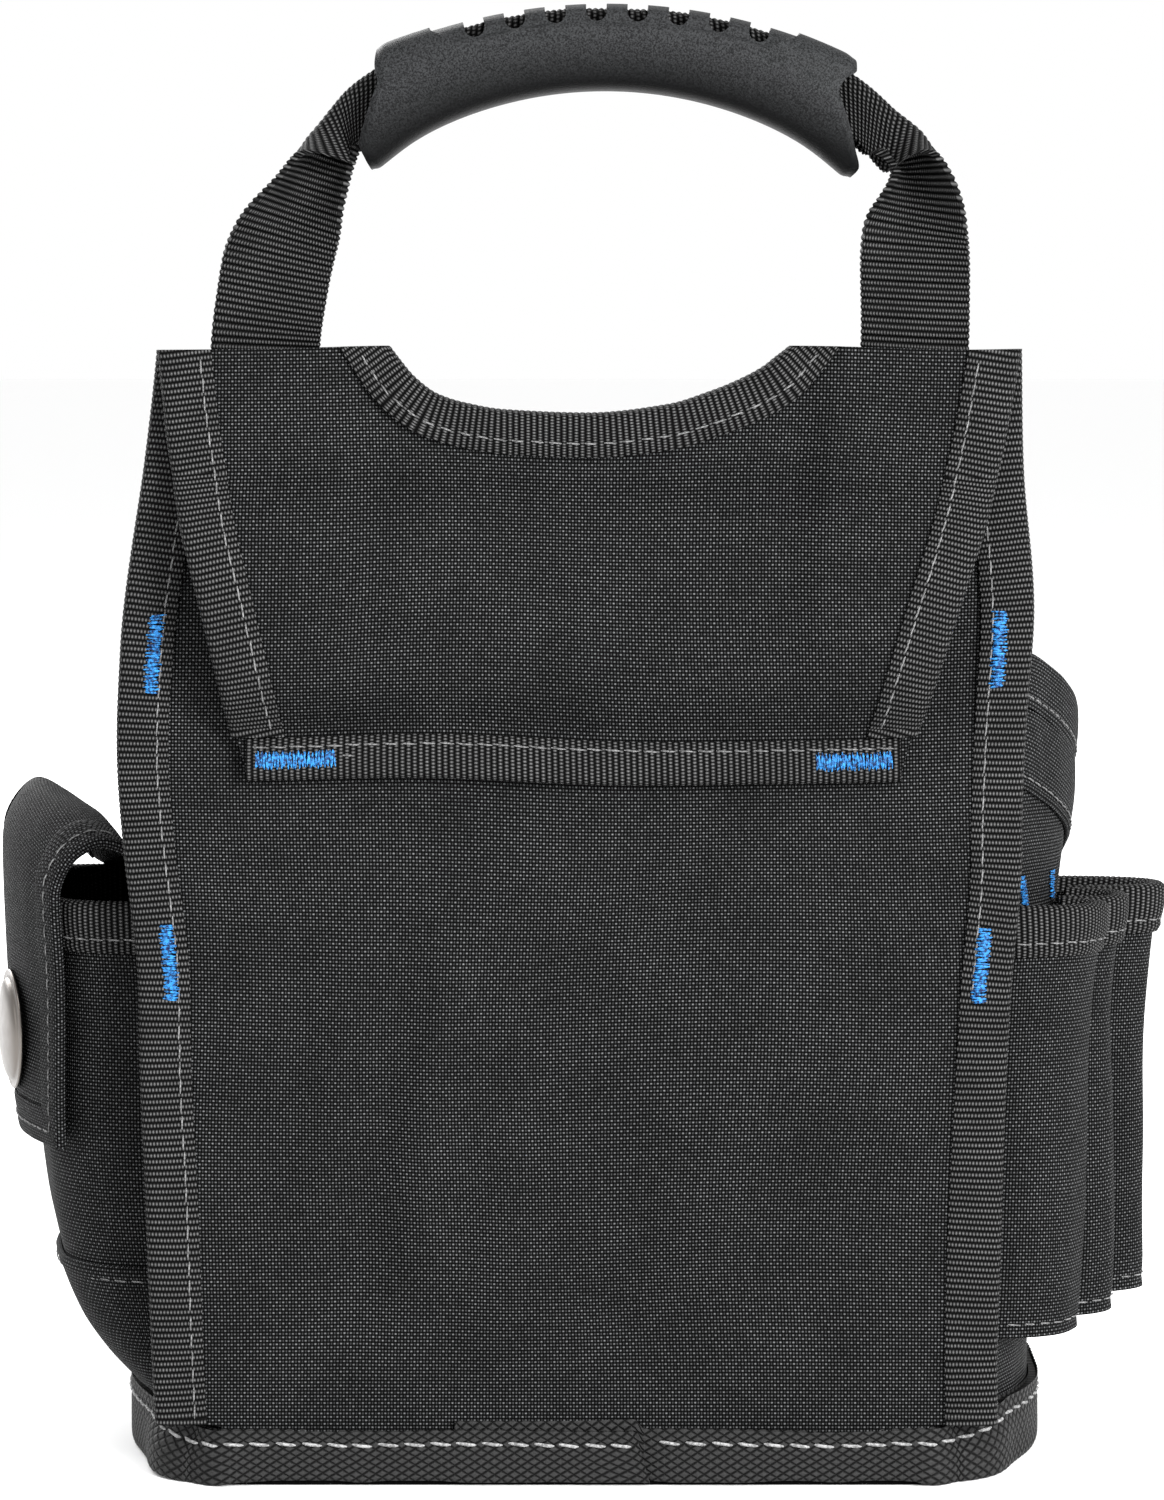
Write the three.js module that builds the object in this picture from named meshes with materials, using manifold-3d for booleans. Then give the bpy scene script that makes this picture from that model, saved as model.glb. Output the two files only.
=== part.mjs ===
// Utility pouch: an open-topped tool pouch of coated cloth with a webbing handle, a moulded grip,
// a belt flap on its back, a snap-flap pocket on its left side and three tool loops on its right.
// Millimetres, +Z up. The belt side faces -Y, and +X is to the right of someone who faces it.
// The origin is the middle of the flat underside.

import * as THREE from 'three';
import * as BufferGeometryUtils from 'three/addons/utils/BufferGeometryUtils.js';
import Module from 'manifold-3d';

// Driving dimensions

const bodyDepth = 106; // from the back panel's outer face to the front corners
const clearance = 0.3; // between sewn layers
const curvedClearance = 0.4; // where the layers bend both ways
const thickness = {
  back: 2, body: 1.8, flap: 1.6, pocket: 1.6, tape: 1.2, strap: 1.8, base: 3, strip: 2.2,
};
const backY = -bodyDepth / 2;

const panel = { foot: 3.3, top: 270, wingFoot: 16 };
const drape = { depth: 3, foot: 20, top: 150, half: 82, ridge: -42, halfPitch: 44, calm: 0.55 };
const scoop = { half: 48 };
const tapeWidth = {
  side: 11, neck: 11.5, mouth: 11.5, flapEnd: 8.7, loop: 11, pocket: 11, pocketFlap: 9,
};
const mouth = { backHeight: 199.5, fall: 0.335, bandFrom: 12.1, bandTo: 30 };
const seamRun = 4; // the gusset leaves the back seam straight for this far, then swells
const front = { cornerStart: 85, cornerReach: 22, bulge: 4, halfSteps: [-1, -0.5, 0, 0.5, 1] };
const baseStrip = {
  backHalf: 86.5, backHeight: 13.5, sideHeight: 17, frontHeight: 15, edge: 1.5, bevel: 0.9,
};
const stripClimb = { from: 6, to: 20 }; // depths between which the strip rises from the back to the sides
const belt = {
  foot: 170, bulge: 10, bulgeFoot: 181, bulgeTop: 241, footGap: 1.9, neckGap: 0.4, strapGap: 4.2,
};
const strap = { width: 25.4, bendHalf: 3.5, plane: backY - 1.2 };
const gripTop = { x: 5.2, z: 218.6, radius: 132, from: -23.3, to: 25.7 };
const gripUnder = { x: 4.7, z: 236.5, radius: 93, from: -37.2, to: 39 };
const grip = {
  halfDepth: 11, roof: 1.7, strapTop: 2.2, endDip: 1.8, stations: 14, sides: 14,
  boreHalf: 5, boreHeight: 16.4, boreFlare: 6.5, // the bore is deeper by its flare at both ends
};
const gripRoundness = { outside: 3, bore: 10 }; // 2 is an ellipse, and more is squarer
const gripSlot = { count: 8, pitch: 9.75, width: 4.8, depth: 5.4, middle: 7.5, sides: 4 };
const loops = { foot: 33.5, rim: 135.5, roundness: 2.5 };
const pocket = { from: 14, to: 92, rim: 135.5, seat: 2, roundness: 4, patchTop: 50 };
const pocketFlap = { from: 14, to: 92, tapeStart: 0.14, skew: 1.36 }; // swells most past its middle
const snap = {
  along: 0.4, down: 0.772, radius: 14.6, rise: 3.4, studRadius: 6, studHeight: 3.2, studDrop: 0.8, sides: 18,
};

// The back panel: half width, the line where the gusset is sewn on, and how far its middle leans.
const backSections = [
  { z: 3.3, half: 84.2, seam: 86.5, sway: -2.4 },
  { z: 14.2, half: 84.2, seam: 86.8, sway: -2.4 },
  { z: 16, half: 98.9, seam: 86.8, sway: -2.4 },
  { z: 33, half: 99.3, seam: 87.3, sway: -2.6 },
  { z: 69, half: 99.8, seam: 88, sway: -2.6 },
  { z: 116, half: 101.5, seam: 89.7, sway: -2.9 },
  { z: 151, half: 104.8, seam: 93, sway: -2.7 },
  { z: 200, half: 105.8, seam: 94, sway: -1 },
  { z: 243, half: 101.5, seam: 94, sway: 0.1 },
  { z: 270, half: 99.9, seam: 94, sway: 0.6 },
];
const panelHeights = [3.3, 14.2, 16, 33, 69, 93, 116, 135, 151, 175, 200, 222, 243, 270];

// The widest reach of the gusset on each side, and how it gets there from the back seam.
const bodySections = [
  { z: 3.3, right: 110.5, left: 110.5 },
  { z: 25, right: 110, left: 108.5 },
  { z: 100, right: 114, left: 111 },
  { z: 160, right: 119, left: 112 },
  { z: 200, right: 121, left: 112 },
];
const sideCurve = [
  { depth: 0, reach: 0 },
  { depth: 0.05, reach: 0.3 },
  { depth: 0.11, reach: 0.5 },
  { depth: 0.19, reach: 0.66 },
  { depth: 0.28, reach: 0.81 },
  { depth: 0.43, reach: 0.96 },
  { depth: 0.55, reach: 1 },
  { depth: 1, reach: 1 },
];
const gussetDepths = [2.3, 4, 8, 13, 20, 30, 42, 58, 74, 85, 94, 101, 104.8];
const wallFractions = [0, 0.08, 0.18, 0.32, 0.48, 0.64, 0.8, 0.91, 1];

// The neck scoop: columns -1 to 1 span it, and drop is how far its edge lies below the shoulders.
const scoopSections = [
  { column: -1, drop: 0 },
  { column: -0.86, drop: 6 },
  { column: -0.735, drop: 10.2 },
  { column: -0.6, drop: 12.2 },
  { column: -0.4, drop: 13.8 },
  { column: 0, drop: 14.4 },
  { column: 0.4, drop: 12.6 },
  { column: 0.6, drop: 10 },
  { column: 0.735, drop: 7.6 },
  { column: 0.86, drop: 4.6 },
  { column: 1, drop: 0 },
];

// The belt flap tapers from the shoulders to its foot, and stands off the panel for a belt.
const flapSections = [
  { z: 170, half: 76.4 },
  { z: 178, half: 78.6 },
  { z: 197, half: 83.5 },
  { z: 210, half: 87 },
  { z: 233, half: 93 },
  { z: 248, half: 96 },
  { z: 270, half: 99 },
];
const flapHeights = [170, 181, 185, 190, 199, 210, 222, 230, 236, 241, 256, 270];

// The strap's fold line, and how far its outer half is folded behind the inner half.
const leftStrap = [
  { x: -75.2, z: 246, fold: 0 },
  { x: -75.2, z: 258, fold: 0 },
  { x: -75, z: 270, fold: 0 },
  { x: -72.7, z: 285.4, fold: 8 },
  { x: -70.6, z: 294.8, fold: 34 },
  { x: -66.9, z: 306.6, fold: 82 },
  { x: -62.9, z: 318.6, fold: 166 },
  { x: -57.4, z: 328.4, fold: 178 },
];
const rightStrap = [
  { x: 71.4, z: 326.4, fold: 178 },
  { x: 77, z: 320, fold: 122 },
  { x: 79.4, z: 311, fold: 74 },
  { x: 78.6, z: 303, fold: 48 },
  { x: 77.2, z: 295, fold: 27 },
  { x: 76.6, z: 284, fold: 8 },
  { x: 76.2, z: 270, fold: 0 },
  { x: 76, z: 258, fold: 0 },
  { x: 76, z: 246, fold: 0 },
];
const gripFold = 180;
const flatFold = 0.5; // a flat strap still needs a curl to divide by

// Tool loops from the belt side to the front: where each is sewn, how far its edges sit off the wall
// (most where the wall turns in), and how far it stands out from there.
const toolLoops = [
  { name: 'near', from: 9.5, to: 35, seat: 2, rimReach: 14.5, footReach: 14.8 },
  { name: 'middle', from: 38.5, to: 62.5, seat: 0.6, rimReach: 15.4, footReach: 20 },
  { name: 'far', from: 66, to: 91, seat: 0.4, rimReach: 26.6, footReach: 30.1 },
];
const loopAngles = [0, 8, 20, 40, 65, 90, 115, 140, 160, 172, 180];
const loopHeights = [33.5, 69, 100, 124.5, 135.5];

// The side pocket swells from its foot. Its flap climbs the wall, rolls over and hangs down, and towards
// the front (the far columns) it leaves the wall lower and stands out further.
const pocketSections = [
  { z: 19, reach: 2.5 },
  { z: 27, reach: 8.3 },
  { z: 36, reach: 14 },
  { z: 50, reach: 18.8 },
  { z: 65, reach: 21.2 },
  { z: 85, reach: 22 },
  { z: 110, reach: 22 },
  { z: 124.5, reach: 21.8 },
  { z: 135.5, reach: 21.8 },
];
const pocketAngles = [180, 177, 172, 164, 150, 130, 110, 90, 70, 50, 30, 16, 8, 3, 0];
const pocketFlapSections = [
  { down: 0, z: 146, stand: 2, farZ: 140, farStand: 2, bulge: 0 },
  { down: 0.12, z: 155, stand: 4, farZ: 143, farStand: 9, bulge: 0 },
  { down: 0.25, z: 159.5, stand: 11, farZ: 148, farStand: 19, bulge: 0.6 },
  { down: 0.38, z: 155, stand: 19.5, farZ: 154.5, farStand: 28.5, bulge: 1.2 },
  { down: 0.5, z: 141, stand: 26.2, farZ: 145, farStand: 33.5, bulge: 2 },
  { down: 0.7, z: 112, stand: 26, farZ: 113, farStand: 31, bulge: 3.2 },
  { down: 0.87, z: 90, stand: 26, farZ: 90, farStand: 29, bulge: 3 },
  { down: 1, z: 78, stand: 25.9, farZ: 78, farStand: 28, bulge: 2 },
];
const pocketFlapRows = [0, 0.07, 0.14, 0.2, 0.25, 0.31, 0.38, 0.44, 0.5, 0.6, 0.7, 0.79, 0.9, 1];
const pocketFlapColumns = [0, 0.115, 0.3, 0.5, 0.7, 0.885, 1];

// Small maths

const { lerp, clamp, degToRad } = THREE.MathUtils;

// A monotone cubic through a table's column, which runs on straight past its ends.
function readTable(rows, key, column, at) {
  const last = rows.length - 1;
  const span = (i) => rows[i + 1][key] - rows[i][key];
  const rise = (i) => (rows[i + 1][column] - rows[i][column]) / span(i);
  const slope = (i) => {
    if (i === 0) return rise(0);
    if (i === last) return rise(last - 1);
    const before = rise(i - 1);
    const after = rise(i);
    return before * after <= 0 ? 0 : (2 * before * after) / (before + after);
  };
  if (at <= rows[0][key]) return rows[0][column] + slope(0) * (at - rows[0][key]);
  if (at >= rows[last][key]) return rows[last][column] + slope(last) * (at - rows[last][key]);
  const i = rows.findIndex((row, index) => index > 0 && at <= row[key]) - 1;
  const t = (at - rows[i][key]) / span(i);
  const ease = 3 * t ** 2 - 2 * t ** 3;
  const level = lerp(rows[i][column], rows[i + 1][column], ease);
  return level + span(i) * (slope(i) * (t ** 3 - 2 * t ** 2 + t) + slope(i + 1) * (t ** 3 - t ** 2));
}

const signedPower = (value, power) => Math.sign(value) * Math.abs(value) ** power;
const halfWave = (t) => Math.sin(Math.PI * clamp(t, 0, 1));
const grid = (rows, columns, at) => rows.map((row) => columns.map((column) => at(row, column)));
const indices = (count, from = 0) => Array.from({ length: count }, (_, i) => from + i);

const sharpestMitre = 0.5; // the cosine past which a mitred corner stops growing

// A line in plan, of points {x, depth}, moved sideways with mitred corners.
function offsetLine(line, distance, closed = false) {
  const count = line.length;
  const normal = (from, to) => {
    const run = new THREE.Vector2(to.x - from.x, to.depth - from.depth).normalize();
    return new THREE.Vector2(-run.y, run.x);
  };
  return line.map((point, i) => {
    const hasBefore = closed || i > 0;
    const hasAfter = closed || i < count - 1;
    const before = hasBefore ? normal(line[(i + count - 1) % count], point) : null;
    const after = hasAfter ? normal(point, line[(i + 1) % count]) : before;
    const first = before ?? after;
    const mitre = first.clone().add(after).normalize();
    const stretch = distance / Math.max(mitre.dot(first), sharpestMitre);
    return { x: point.x + mitre.x * stretch, depth: point.depth + mitre.y * stretch };
  });
}

const fromPlan = (point, z) => new THREE.Vector3(point.x, backY + point.depth, z);

// Solids from grids of points

function solidGeometry(points, faces) {
  const corner = (i) => points[i];
  const volume = faces.reduce((sum, [a, b, c]) => sum + corner(a).dot(corner(b).clone().cross(corner(c))), 0);
  const outward = volume < 0 ? faces.map(([a, b, c]) => [a, c, b]) : faces;
  const indexed = new THREE.BufferGeometry();
  indexed.setAttribute('position', new THREE.Float32BufferAttribute(points.flatMap((p) => p.toArray()), 3));
  indexed.setIndex(outward.flat());
  const geometry = indexed.toNonIndexed();
  geometry.computeVertexNormals();
  return geometry;
}

// The closed wall between two grids of points that match row for row.
function wallSolid(outer, inner, { ring = false } = {}) {
  const rows = outer.length;
  const columns = outer[0].length;
  const points = [...outer.flat(), ...inner.flat()];
  const at = (side, row, column) => (side * rows + row) * columns + (column % columns);
  const faces = [];
  const quad = (a, b, c, d) => faces.push([a, b, c], [a, c, d]);
  const spans = ring ? columns : columns - 1;
  const lastRow = rows - 1;
  const lastColumn = columns - 1;
  for (let row = 0; row < rows - 1; row += 1) {
    for (let column = 0; column < spans; column += 1) {
      quad(at(0, row, column), at(0, row, column + 1), at(0, row + 1, column + 1), at(0, row + 1, column));
      quad(at(1, row, column), at(1, row + 1, column), at(1, row + 1, column + 1), at(1, row, column + 1));
    }
  }
  for (let column = 0; column < spans; column += 1) {
    quad(at(0, 0, column + 1), at(0, 0, column), at(1, 0, column), at(1, 0, column + 1));
    const [near, far] = [0, 1].map((side) => [at(side, lastRow, column), at(side, lastRow, column + 1)]);
    quad(near[0], near[1], far[1], far[0]);
  }
  for (let row = 0; row < rows - 1 && !ring; row += 1) {
    quad(at(0, row, 0), at(0, row + 1, 0), at(1, row + 1, 0), at(1, row, 0));
    const [near, far] = [0, 1].map((side) => [at(side, row, lastColumn), at(side, row + 1, lastColumn)]);
    quad(near[1], near[0], far[0], far[1]);
  }
  return solidGeometry(points, faces);
}

// A tape folded over an edge. place(station, inset, away, face) gives a point: inset is measured in from
// the edge, and away is the distance off the front or the back face of what the tape binds.
function foldedTape(stations, width, place, gap = clearance) {
  const section = (away) => [
    { inset: width, away, face: 'front' },
    { inset: -away, away, face: 'front' },
    { inset: -away, away, face: 'back' },
    { inset: width, away, face: 'back' },
  ];
  const shell = (away) =>
    grid(section(away), stations, (p, station) => place(station, p.inset, p.away, p.face));
  return wallSolid(shell(gap + thickness.tape), shell(gap));
}

// Shared forms of the pouch

const swayAt = (z) => readTable(backSections, 'z', 'sway', z);
const panelHalf = (z) => readTable(backSections, 'z', 'half', z);
const flapHalf = (z) => readTable(flapSections, 'z', 'half', z);
const mouthHeight = (depth) => mouth.backHeight - mouth.fall * depth;

// The gusset's outer face: side is -1 on the left and 1 on the right.
function gussetX(side, depth, z) {
  const seamX = swayAt(z) + side * readTable(backSections, 'z', 'seam', z);
  const widestX = side * readTable(bodySections, 'z', side > 0 ? 'right' : 'left', z);
  const along = Math.max(0, (depth - seamRun) / (bodyDepth - seamRun));
  const turn = clamp((depth - front.cornerStart) / (bodyDepth - front.cornerStart), 0, 1);
  const corner = front.cornerReach * (1 - Math.sqrt(1 - turn ** 2));
  return lerp(seamX, widestX, readTable(sideCurve, 'depth', 'reach', along)) - side * corner;
}

// The wall in plan at one height, from the left seam round the front to the right seam.
function bodyLine(z) {
  const gusset = (side) => gussetDepths.map((depth) => ({ x: gussetX(side, depth, z), depth }));
  const frontX = (side) => gussetX(side, bodyDepth, z);
  const frontLine = front.halfSteps.map((step) => ({
    x: lerp(frontX(-1), frontX(1), (step + 1) / 2),
    depth: bodyDepth + front.bulge * Math.cos((step * Math.PI) / 2) ** 2,
  }));
  return [...gusset(-1), ...frontLine, ...gusset(1).reverse()];
}
const wallDepths = bodyLine(panel.foot).map((point) => point.depth);
const wallPoint = (station, z, away) => fromPlan(offsetLine(bodyLine(z), away)[station], z);
const mouthStations = indices(wallDepths.length - 4, 2); // stops short of the back seam

// Columns of the back panel and the belt flap: -1 to 1 spans the neck scoop, and 2 is the side edge.
const scoopColumns = [-1, -0.86, -0.735, -0.4, 0, 0.4, 0.735, 0.86, 1];
const strapColumn = 1.24; // from here outwards the flap leaves room for the strap's tails
const shoulderColumns = [strapColumn, 1.5, 1.78, 2];
const panelColumns = [...shoulderColumns.map((k) => -k).reverse(), ...scoopColumns, ...shoulderColumns];

function columnX(column, z, half) {
  const reach = Math.abs(column);
  const shoulder = Math.max(0, reach - 1) * (half - scoop.half);
  return swayAt(z) + Math.sign(column) * (Math.min(reach, 1) * scoop.half + shoulder);
}
const scoopDrop = (column) => readTable(scoopSections, 'column', 'drop', column);
const topEdge = (column) => panel.top - Math.max(0, scoopDrop(column));
const columnHeight = (column, z, foot) => lerp(foot, topEdge(column), (z - foot) / (panel.top - foot));

// Soft folds that fall down the lower back panel.
function panelDrape(x, z) {
  const up = halfWave((z - drape.foot) / (drape.top - drape.foot));
  const across = Math.max(0, 1 - (x / drape.half) ** 2) ** 2;
  const fold = Math.cos(((x - drape.ridge) * Math.PI) / drape.halfPitch);
  return drape.depth * up * across * (drape.calm + (1 - drape.calm) * fold);
}

// The belt flap's inner face stands this far off the back panel.
function flapGap(x, z) {
  const side = Math.abs(x - swayAt(z)) - scoop.half;
  const column = 1 + Math.max(0, side) / (flapHalf(z) - scoop.half);
  const topGap = lerp(belt.neckGap, belt.strapGap, clamp((column - 1) / (strapColumn - 1), 0, 1));
  const up = clamp((z - belt.bulgeFoot) / (belt.bulgeTop - belt.bulgeFoot), 0, 1);
  return lerp(belt.footGap, topGap, up) + belt.bulge * (1 - Math.abs(2 * up - 1) ** 3);
}
const flapFront = (x, z) => backY - flapGap(x, z) - thickness.flap;

// The pouch's back, wall and base

function backPanel() {
  const face = (depth) =>
    grid(panelHeights, panelColumns, (height, column) => {
      const z = columnHeight(column, height, panel.foot);
      const x = columnX(column, z, panelHalf(z));
      return new THREE.Vector3(x, backY + depth - panelDrape(x, z), z);
    });
  return wallSolid(face(0), face(thickness.back));
}

function backBinding(side) {
  const start = panel.wingFoot + clearance;
  const heights = [start, ...panelHeights.filter((z) => z > start)];
  return foldedTape(heights, tapeWidth.side, (z, inset, away, face) => {
    const x = swayAt(z) + side * (panelHalf(z) - inset);
    return new THREE.Vector3(x, face === 'front' ? backY - away : backY + thickness.back + away, z);
  });
}

function bodyWall() {
  const face = (away) =>
    grid(wallFractions, indices(wallDepths.length), (fraction, station) =>
      wallPoint(station, lerp(panel.foot, mouthHeight(wallDepths[station]), fraction), away));
  return wallSolid(face(0), face(-thickness.body));
}

function mouthBinding() {
  return foldedTape(mouthStations, tapeWidth.mouth, (station, inset, away, face) => {
    const z = mouthHeight(wallDepths[station]) - inset;
    return wallPoint(station, z, face === 'front' ? away : -thickness.body - away);
  });
}

function mouthBand() {
  const face = (away) =>
    grid([mouth.bandFrom, mouth.bandTo], mouthStations, (drop, station) =>
      wallPoint(station, mouthHeight(wallDepths[station]) - drop, away));
  return wallSolid(face(clearance + thickness.tape), face(clearance));
}

// The base in plan: the wall's own line, closed along the back panel.
function baseLine() {
  const backLine = [1, 0.5, 0, -0.5, -1].map((t) => ({ x: swayAt(0) + t * baseStrip.backHalf, depth: 0 }));
  return [...bodyLine(panel.foot).slice(1, -1), ...backLine];
}

function basePanel() {
  const shape = new THREE.Shape(baseLine().map((point) => new THREE.Vector2(point.x, backY + point.depth)));
  return new THREE.ExtrudeGeometry(shape, { depth: thickness.base, bevelEnabled: false });
}

function baseStripTop(depth) {
  const climb = clamp((depth - stripClimb.from) / (stripClimb.to - stripClimb.from), 0, 1);
  const fall = clamp((depth - front.cornerStart) / (bodyDepth - front.cornerStart), 0, 1);
  const side = lerp(baseStrip.backHeight, baseStrip.sideHeight, climb);
  return lerp(side, baseStrip.frontHeight, fall);
}

function baseStripRing() {
  const line = baseLine();
  const stations = indices(line.length);
  const outside = clearance + thickness.strip;
  const ringRow = (away, height) => {
    const moved = offsetLine(line, away, true);
    return stations.map((i) => fromPlan(moved[i], height(line[i].depth)));
  };
  const levels = [baseStripTop, () => baseStrip.edge, () => 0];
  const outer = levels.map((height, i) => ringRow(i === 2 ? outside - baseStrip.bevel : outside, height));
  const inner = levels.map((height) => ringRow(clearance, height));
  return wallSolid(outer, inner, { ring: true });
}

// The belt flap and the tape round the neck

function beltFlap() {
  const face = (depth) =>
    grid(flapHeights, panelColumns, (height, column) => {
      const z = columnHeight(column, height, belt.foot);
      const x = columnX(column, z, flapHalf(z));
      return new THREE.Vector3(x, flapFront(x, z) + depth, z);
    });
  return wallSolid(face(0), face(thickness.flap));
}

const offFlap = (x, z, away, face) => {
  const y = face === 'front' ? flapFront(x, z) - away : flapFront(x, z) + thickness.flap + away;
  return new THREE.Vector3(x, y, z);
};

function beltFlapSideBinding(side) {
  const start = belt.foot + tapeWidth.flapEnd + clearance;
  const heights = [start, ...flapHeights.filter((z) => z > start)];
  return foldedTape(heights, tapeWidth.side, (z, inset, away, face) =>
    offFlap(swayAt(z) + side * (flapHalf(z) - inset), z, away, face));
}

function beltFlapBottomBinding() {
  return foldedTape(panelColumns, tapeWidth.flapEnd, (column, inset, away, face) => {
    const z = belt.foot + inset;
    return offFlap(columnX(column, belt.foot, flapHalf(belt.foot)), z, away, face);
  });
}

// The neck tape binds the flap and the panel together, square to the scoop's edge. Its two ends are cut
// level with the shoulders.
function neckBinding() {
  const step = 0.02;
  const into = (column) => {
    if (Math.abs(column) === 1) return new THREE.Vector2(column, 0);
    const fall = (scoopDrop(column + step) - scoopDrop(column - step)) / (2 * step * scoop.half);
    return new THREE.Vector2(-fall, -1).normalize();
  };
  const place = (column, inset, away, face) => {
    const z = topEdge(column) + into(column).y * inset;
    const x = swayAt(topEdge(column)) + column * scoop.half + into(column).x * inset;
    const y = face === 'front' ? flapFront(x, z) - away : backY + thickness.back + away;
    return new THREE.Vector3(x, y, z);
  };
  return foldedTape(scoopColumns, tapeWidth.neck, place, curvedClearance);
}

// The handle

const arcPoint = (arc, degrees, radius = arc.radius) => {
  const angle = degToRad(degrees);
  return new THREE.Vector2(arc.x + radius * Math.sin(angle), arc.z + radius * Math.cos(angle));
};

// The strap's path as evenly read stations, each with its fold.
function strapStations() {
  const arcSteps = 8;
  const overrun = 2; // the strap keeps to the grip's arc for this many degrees past its ends
  const inGrip = indices(arcSteps).map((i) => {
    const share = i / (arcSteps - 1);
    const degrees = lerp(gripTop.from - overrun, gripTop.to + overrun, share);
    const dip = grip.endDip * (2 * share - 1) ** 4;
    const point = arcPoint(gripTop, degrees, gripTop.radius - grip.strapTop - dip);
    return { x: point.x, z: point.y, fold: gripFold };
  });
  const rows = [...leftStrap, ...inGrip, ...rightStrap];
  const path = new THREE.CatmullRomCurve3(rows.map((row) => new THREE.Vector3(row.x, row.fold, row.z)));
  const count = 2 * (rows.length - 1);
  return indices(count + 1).map((i) => {
    const here = path.getPoint(i / count);
    const run = path.getTangent(i / count).setY(0).normalize();
    const inward = new THREE.Vector3(run.z, 0, -run.x);
    const middle = new THREE.Vector3(here.x, strap.plane, here.z);
    return { middle, inward, fold: degToRad(clamp(here.y, flatFold, gripFold)) };
  });
}

// The strap lies flat at its tails, and its outer half folds back until it lies behind the inner half.
function handleStrap() {
  const half = strap.width / 2;
  const bend = strap.bendHalf;
  const across = [half, bend, bend / 2, 0, -bend / 2, -bend, -half];
  const back = new THREE.Vector3(0, 1, 0);
  const point = (station, w, away) => {
    const turned = (clamp(bend - w, 0, 2 * bend) / (2 * bend)) * station.fold;
    const curl = station.fold / (2 * bend);
    const straight = Math.max(0, -bend - w);
    const out = Math.sin(turned) / curl + straight * Math.cos(turned) - Math.max(0, w - bend) - bend;
    const behind = (1 - Math.cos(turned)) / curl + straight * Math.sin(turned);
    return station.middle.clone()
      .addScaledVector(station.inward, -out - away * Math.sin(turned))
      .addScaledVector(back, behind - away * Math.cos(turned));
  };
  const face = (away) => grid(strapStations(), across, (station, w) => point(station, w, away));
  return wallSolid(face(thickness.strap / 2), face(-thickness.strap / 2));
}

function toManifold(wasm, geometry) {
  const bare = geometry.clone();
  bare.deleteAttribute('normal');
  bare.deleteAttribute('uv');
  const merged = BufferGeometryUtils.mergeVertices(bare);
  const vertProperties = merged.attributes.position.array;
  const triVerts = Uint32Array.from(merged.index.array);
  return new wasm.Manifold(new wasm.Mesh({ numProp: 3, vertProperties, triVerts }));
}

// The grip is a sleeve round the folded strap. Slots across its top leave a row of arched tabs.
function handleGrip(wasm) {
  const middleY = strap.plane + (2 * strap.bendHalf) / degToRad(gripFold);
  const angles = indices(grip.sides).map((i) => (2 * Math.PI * (i + 0.5)) / grip.sides);
  const stations = indices(grip.stations + 1).map((i) => {
    const t = i / grip.stations;
    const topAngle = lerp(gripTop.from, gripTop.to, t);
    const top = arcPoint(gripTop, topAngle);
    const under = arcPoint(gripUnder, lerp(gripUnder.from, gripUnder.to, t));
    const up = top.clone().sub(under);
    const height = up.length();
    up.normalize();
    const radial = new THREE.Vector2(Math.sin(degToRad(topAngle)), Math.cos(degToRad(topAngle)));
    return { top, up, height, slant: up.dot(radial), end: (2 * t - 1) ** 4 };
  });
  const loop = (station, halfWide, highest, lowest, roundness) =>
    angles.map((angle) => {
      const across = halfWide * signedPower(Math.cos(angle), 2 / roundness);
      const down = lerp(highest, lowest, 0.5 - 0.5 * signedPower(Math.sin(angle), 2 / roundness));
      const at = station.top.clone().addScaledVector(station.up, -down);
      return new THREE.Vector3(at.x, middleY + across, at.y);
    });
  const outer = stations.map((station) =>
    loop(station, grip.halfDepth, 0, station.height, gripRoundness.outside));
  const bore = stations.map((station) => {
    const highest = grip.roof / station.slant;
    const lowest = (grip.roof + grip.boreHeight + grip.boreFlare * station.end) / station.slant;
    return loop(station, grip.boreHalf, highest, lowest, gripRoundness.bore);
  });
  const slotHalf = gripSlot.width / 2;
  const slotShape = new THREE.Shape();
  slotShape.moveTo(slotHalf, gripSlot.depth);
  slotShape.lineTo(-slotHalf, gripSlot.depth);
  slotShape.lineTo(-slotHalf, slotHalf - gripSlot.depth);
  slotShape.absarc(0, slotHalf - gripSlot.depth, slotHalf, Math.PI, 2 * Math.PI, false);
  slotShape.lineTo(slotHalf, gripSlot.depth);
  const slotLength = 4 * grip.halfDepth;
  const settings = { depth: slotLength, bevelEnabled: false, curveSegments: gripSlot.sides };
  const slots = indices(gripSlot.count).map((i) => {
    const along = gripSlot.middle - gripTop.x + (i - (gripSlot.count - 1) / 2) * gripSlot.pitch;
    const degrees = THREE.MathUtils.radToDeg(along / gripTop.radius);
    const at = arcPoint(gripTop, degrees);
    const slot = new THREE.ExtrudeGeometry(slotShape, settings);
    slot.rotateX(Math.PI / 2);
    slot.rotateY(degToRad(degrees));
    return slot.translate(at.x, middleY + slotLength / 2, at.y);
  });
  let sleeve = toManifold(wasm, wallSolid(outer, bore, { ring: true }));
  for (const slot of slots) sleeve = sleeve.subtract(toManifold(wasm, slot));
  const mesh = sleeve.getMesh();
  const cut = new THREE.BufferGeometry();
  cut.setAttribute('position', new THREE.Float32BufferAttribute(mesh.vertProperties, 3));
  cut.setIndex(Array.from(mesh.triVerts));
  const geometry = cut.toNonIndexed();
  geometry.computeVertexNormals();
  return geometry;
}

// Tool loops on the right side

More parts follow.
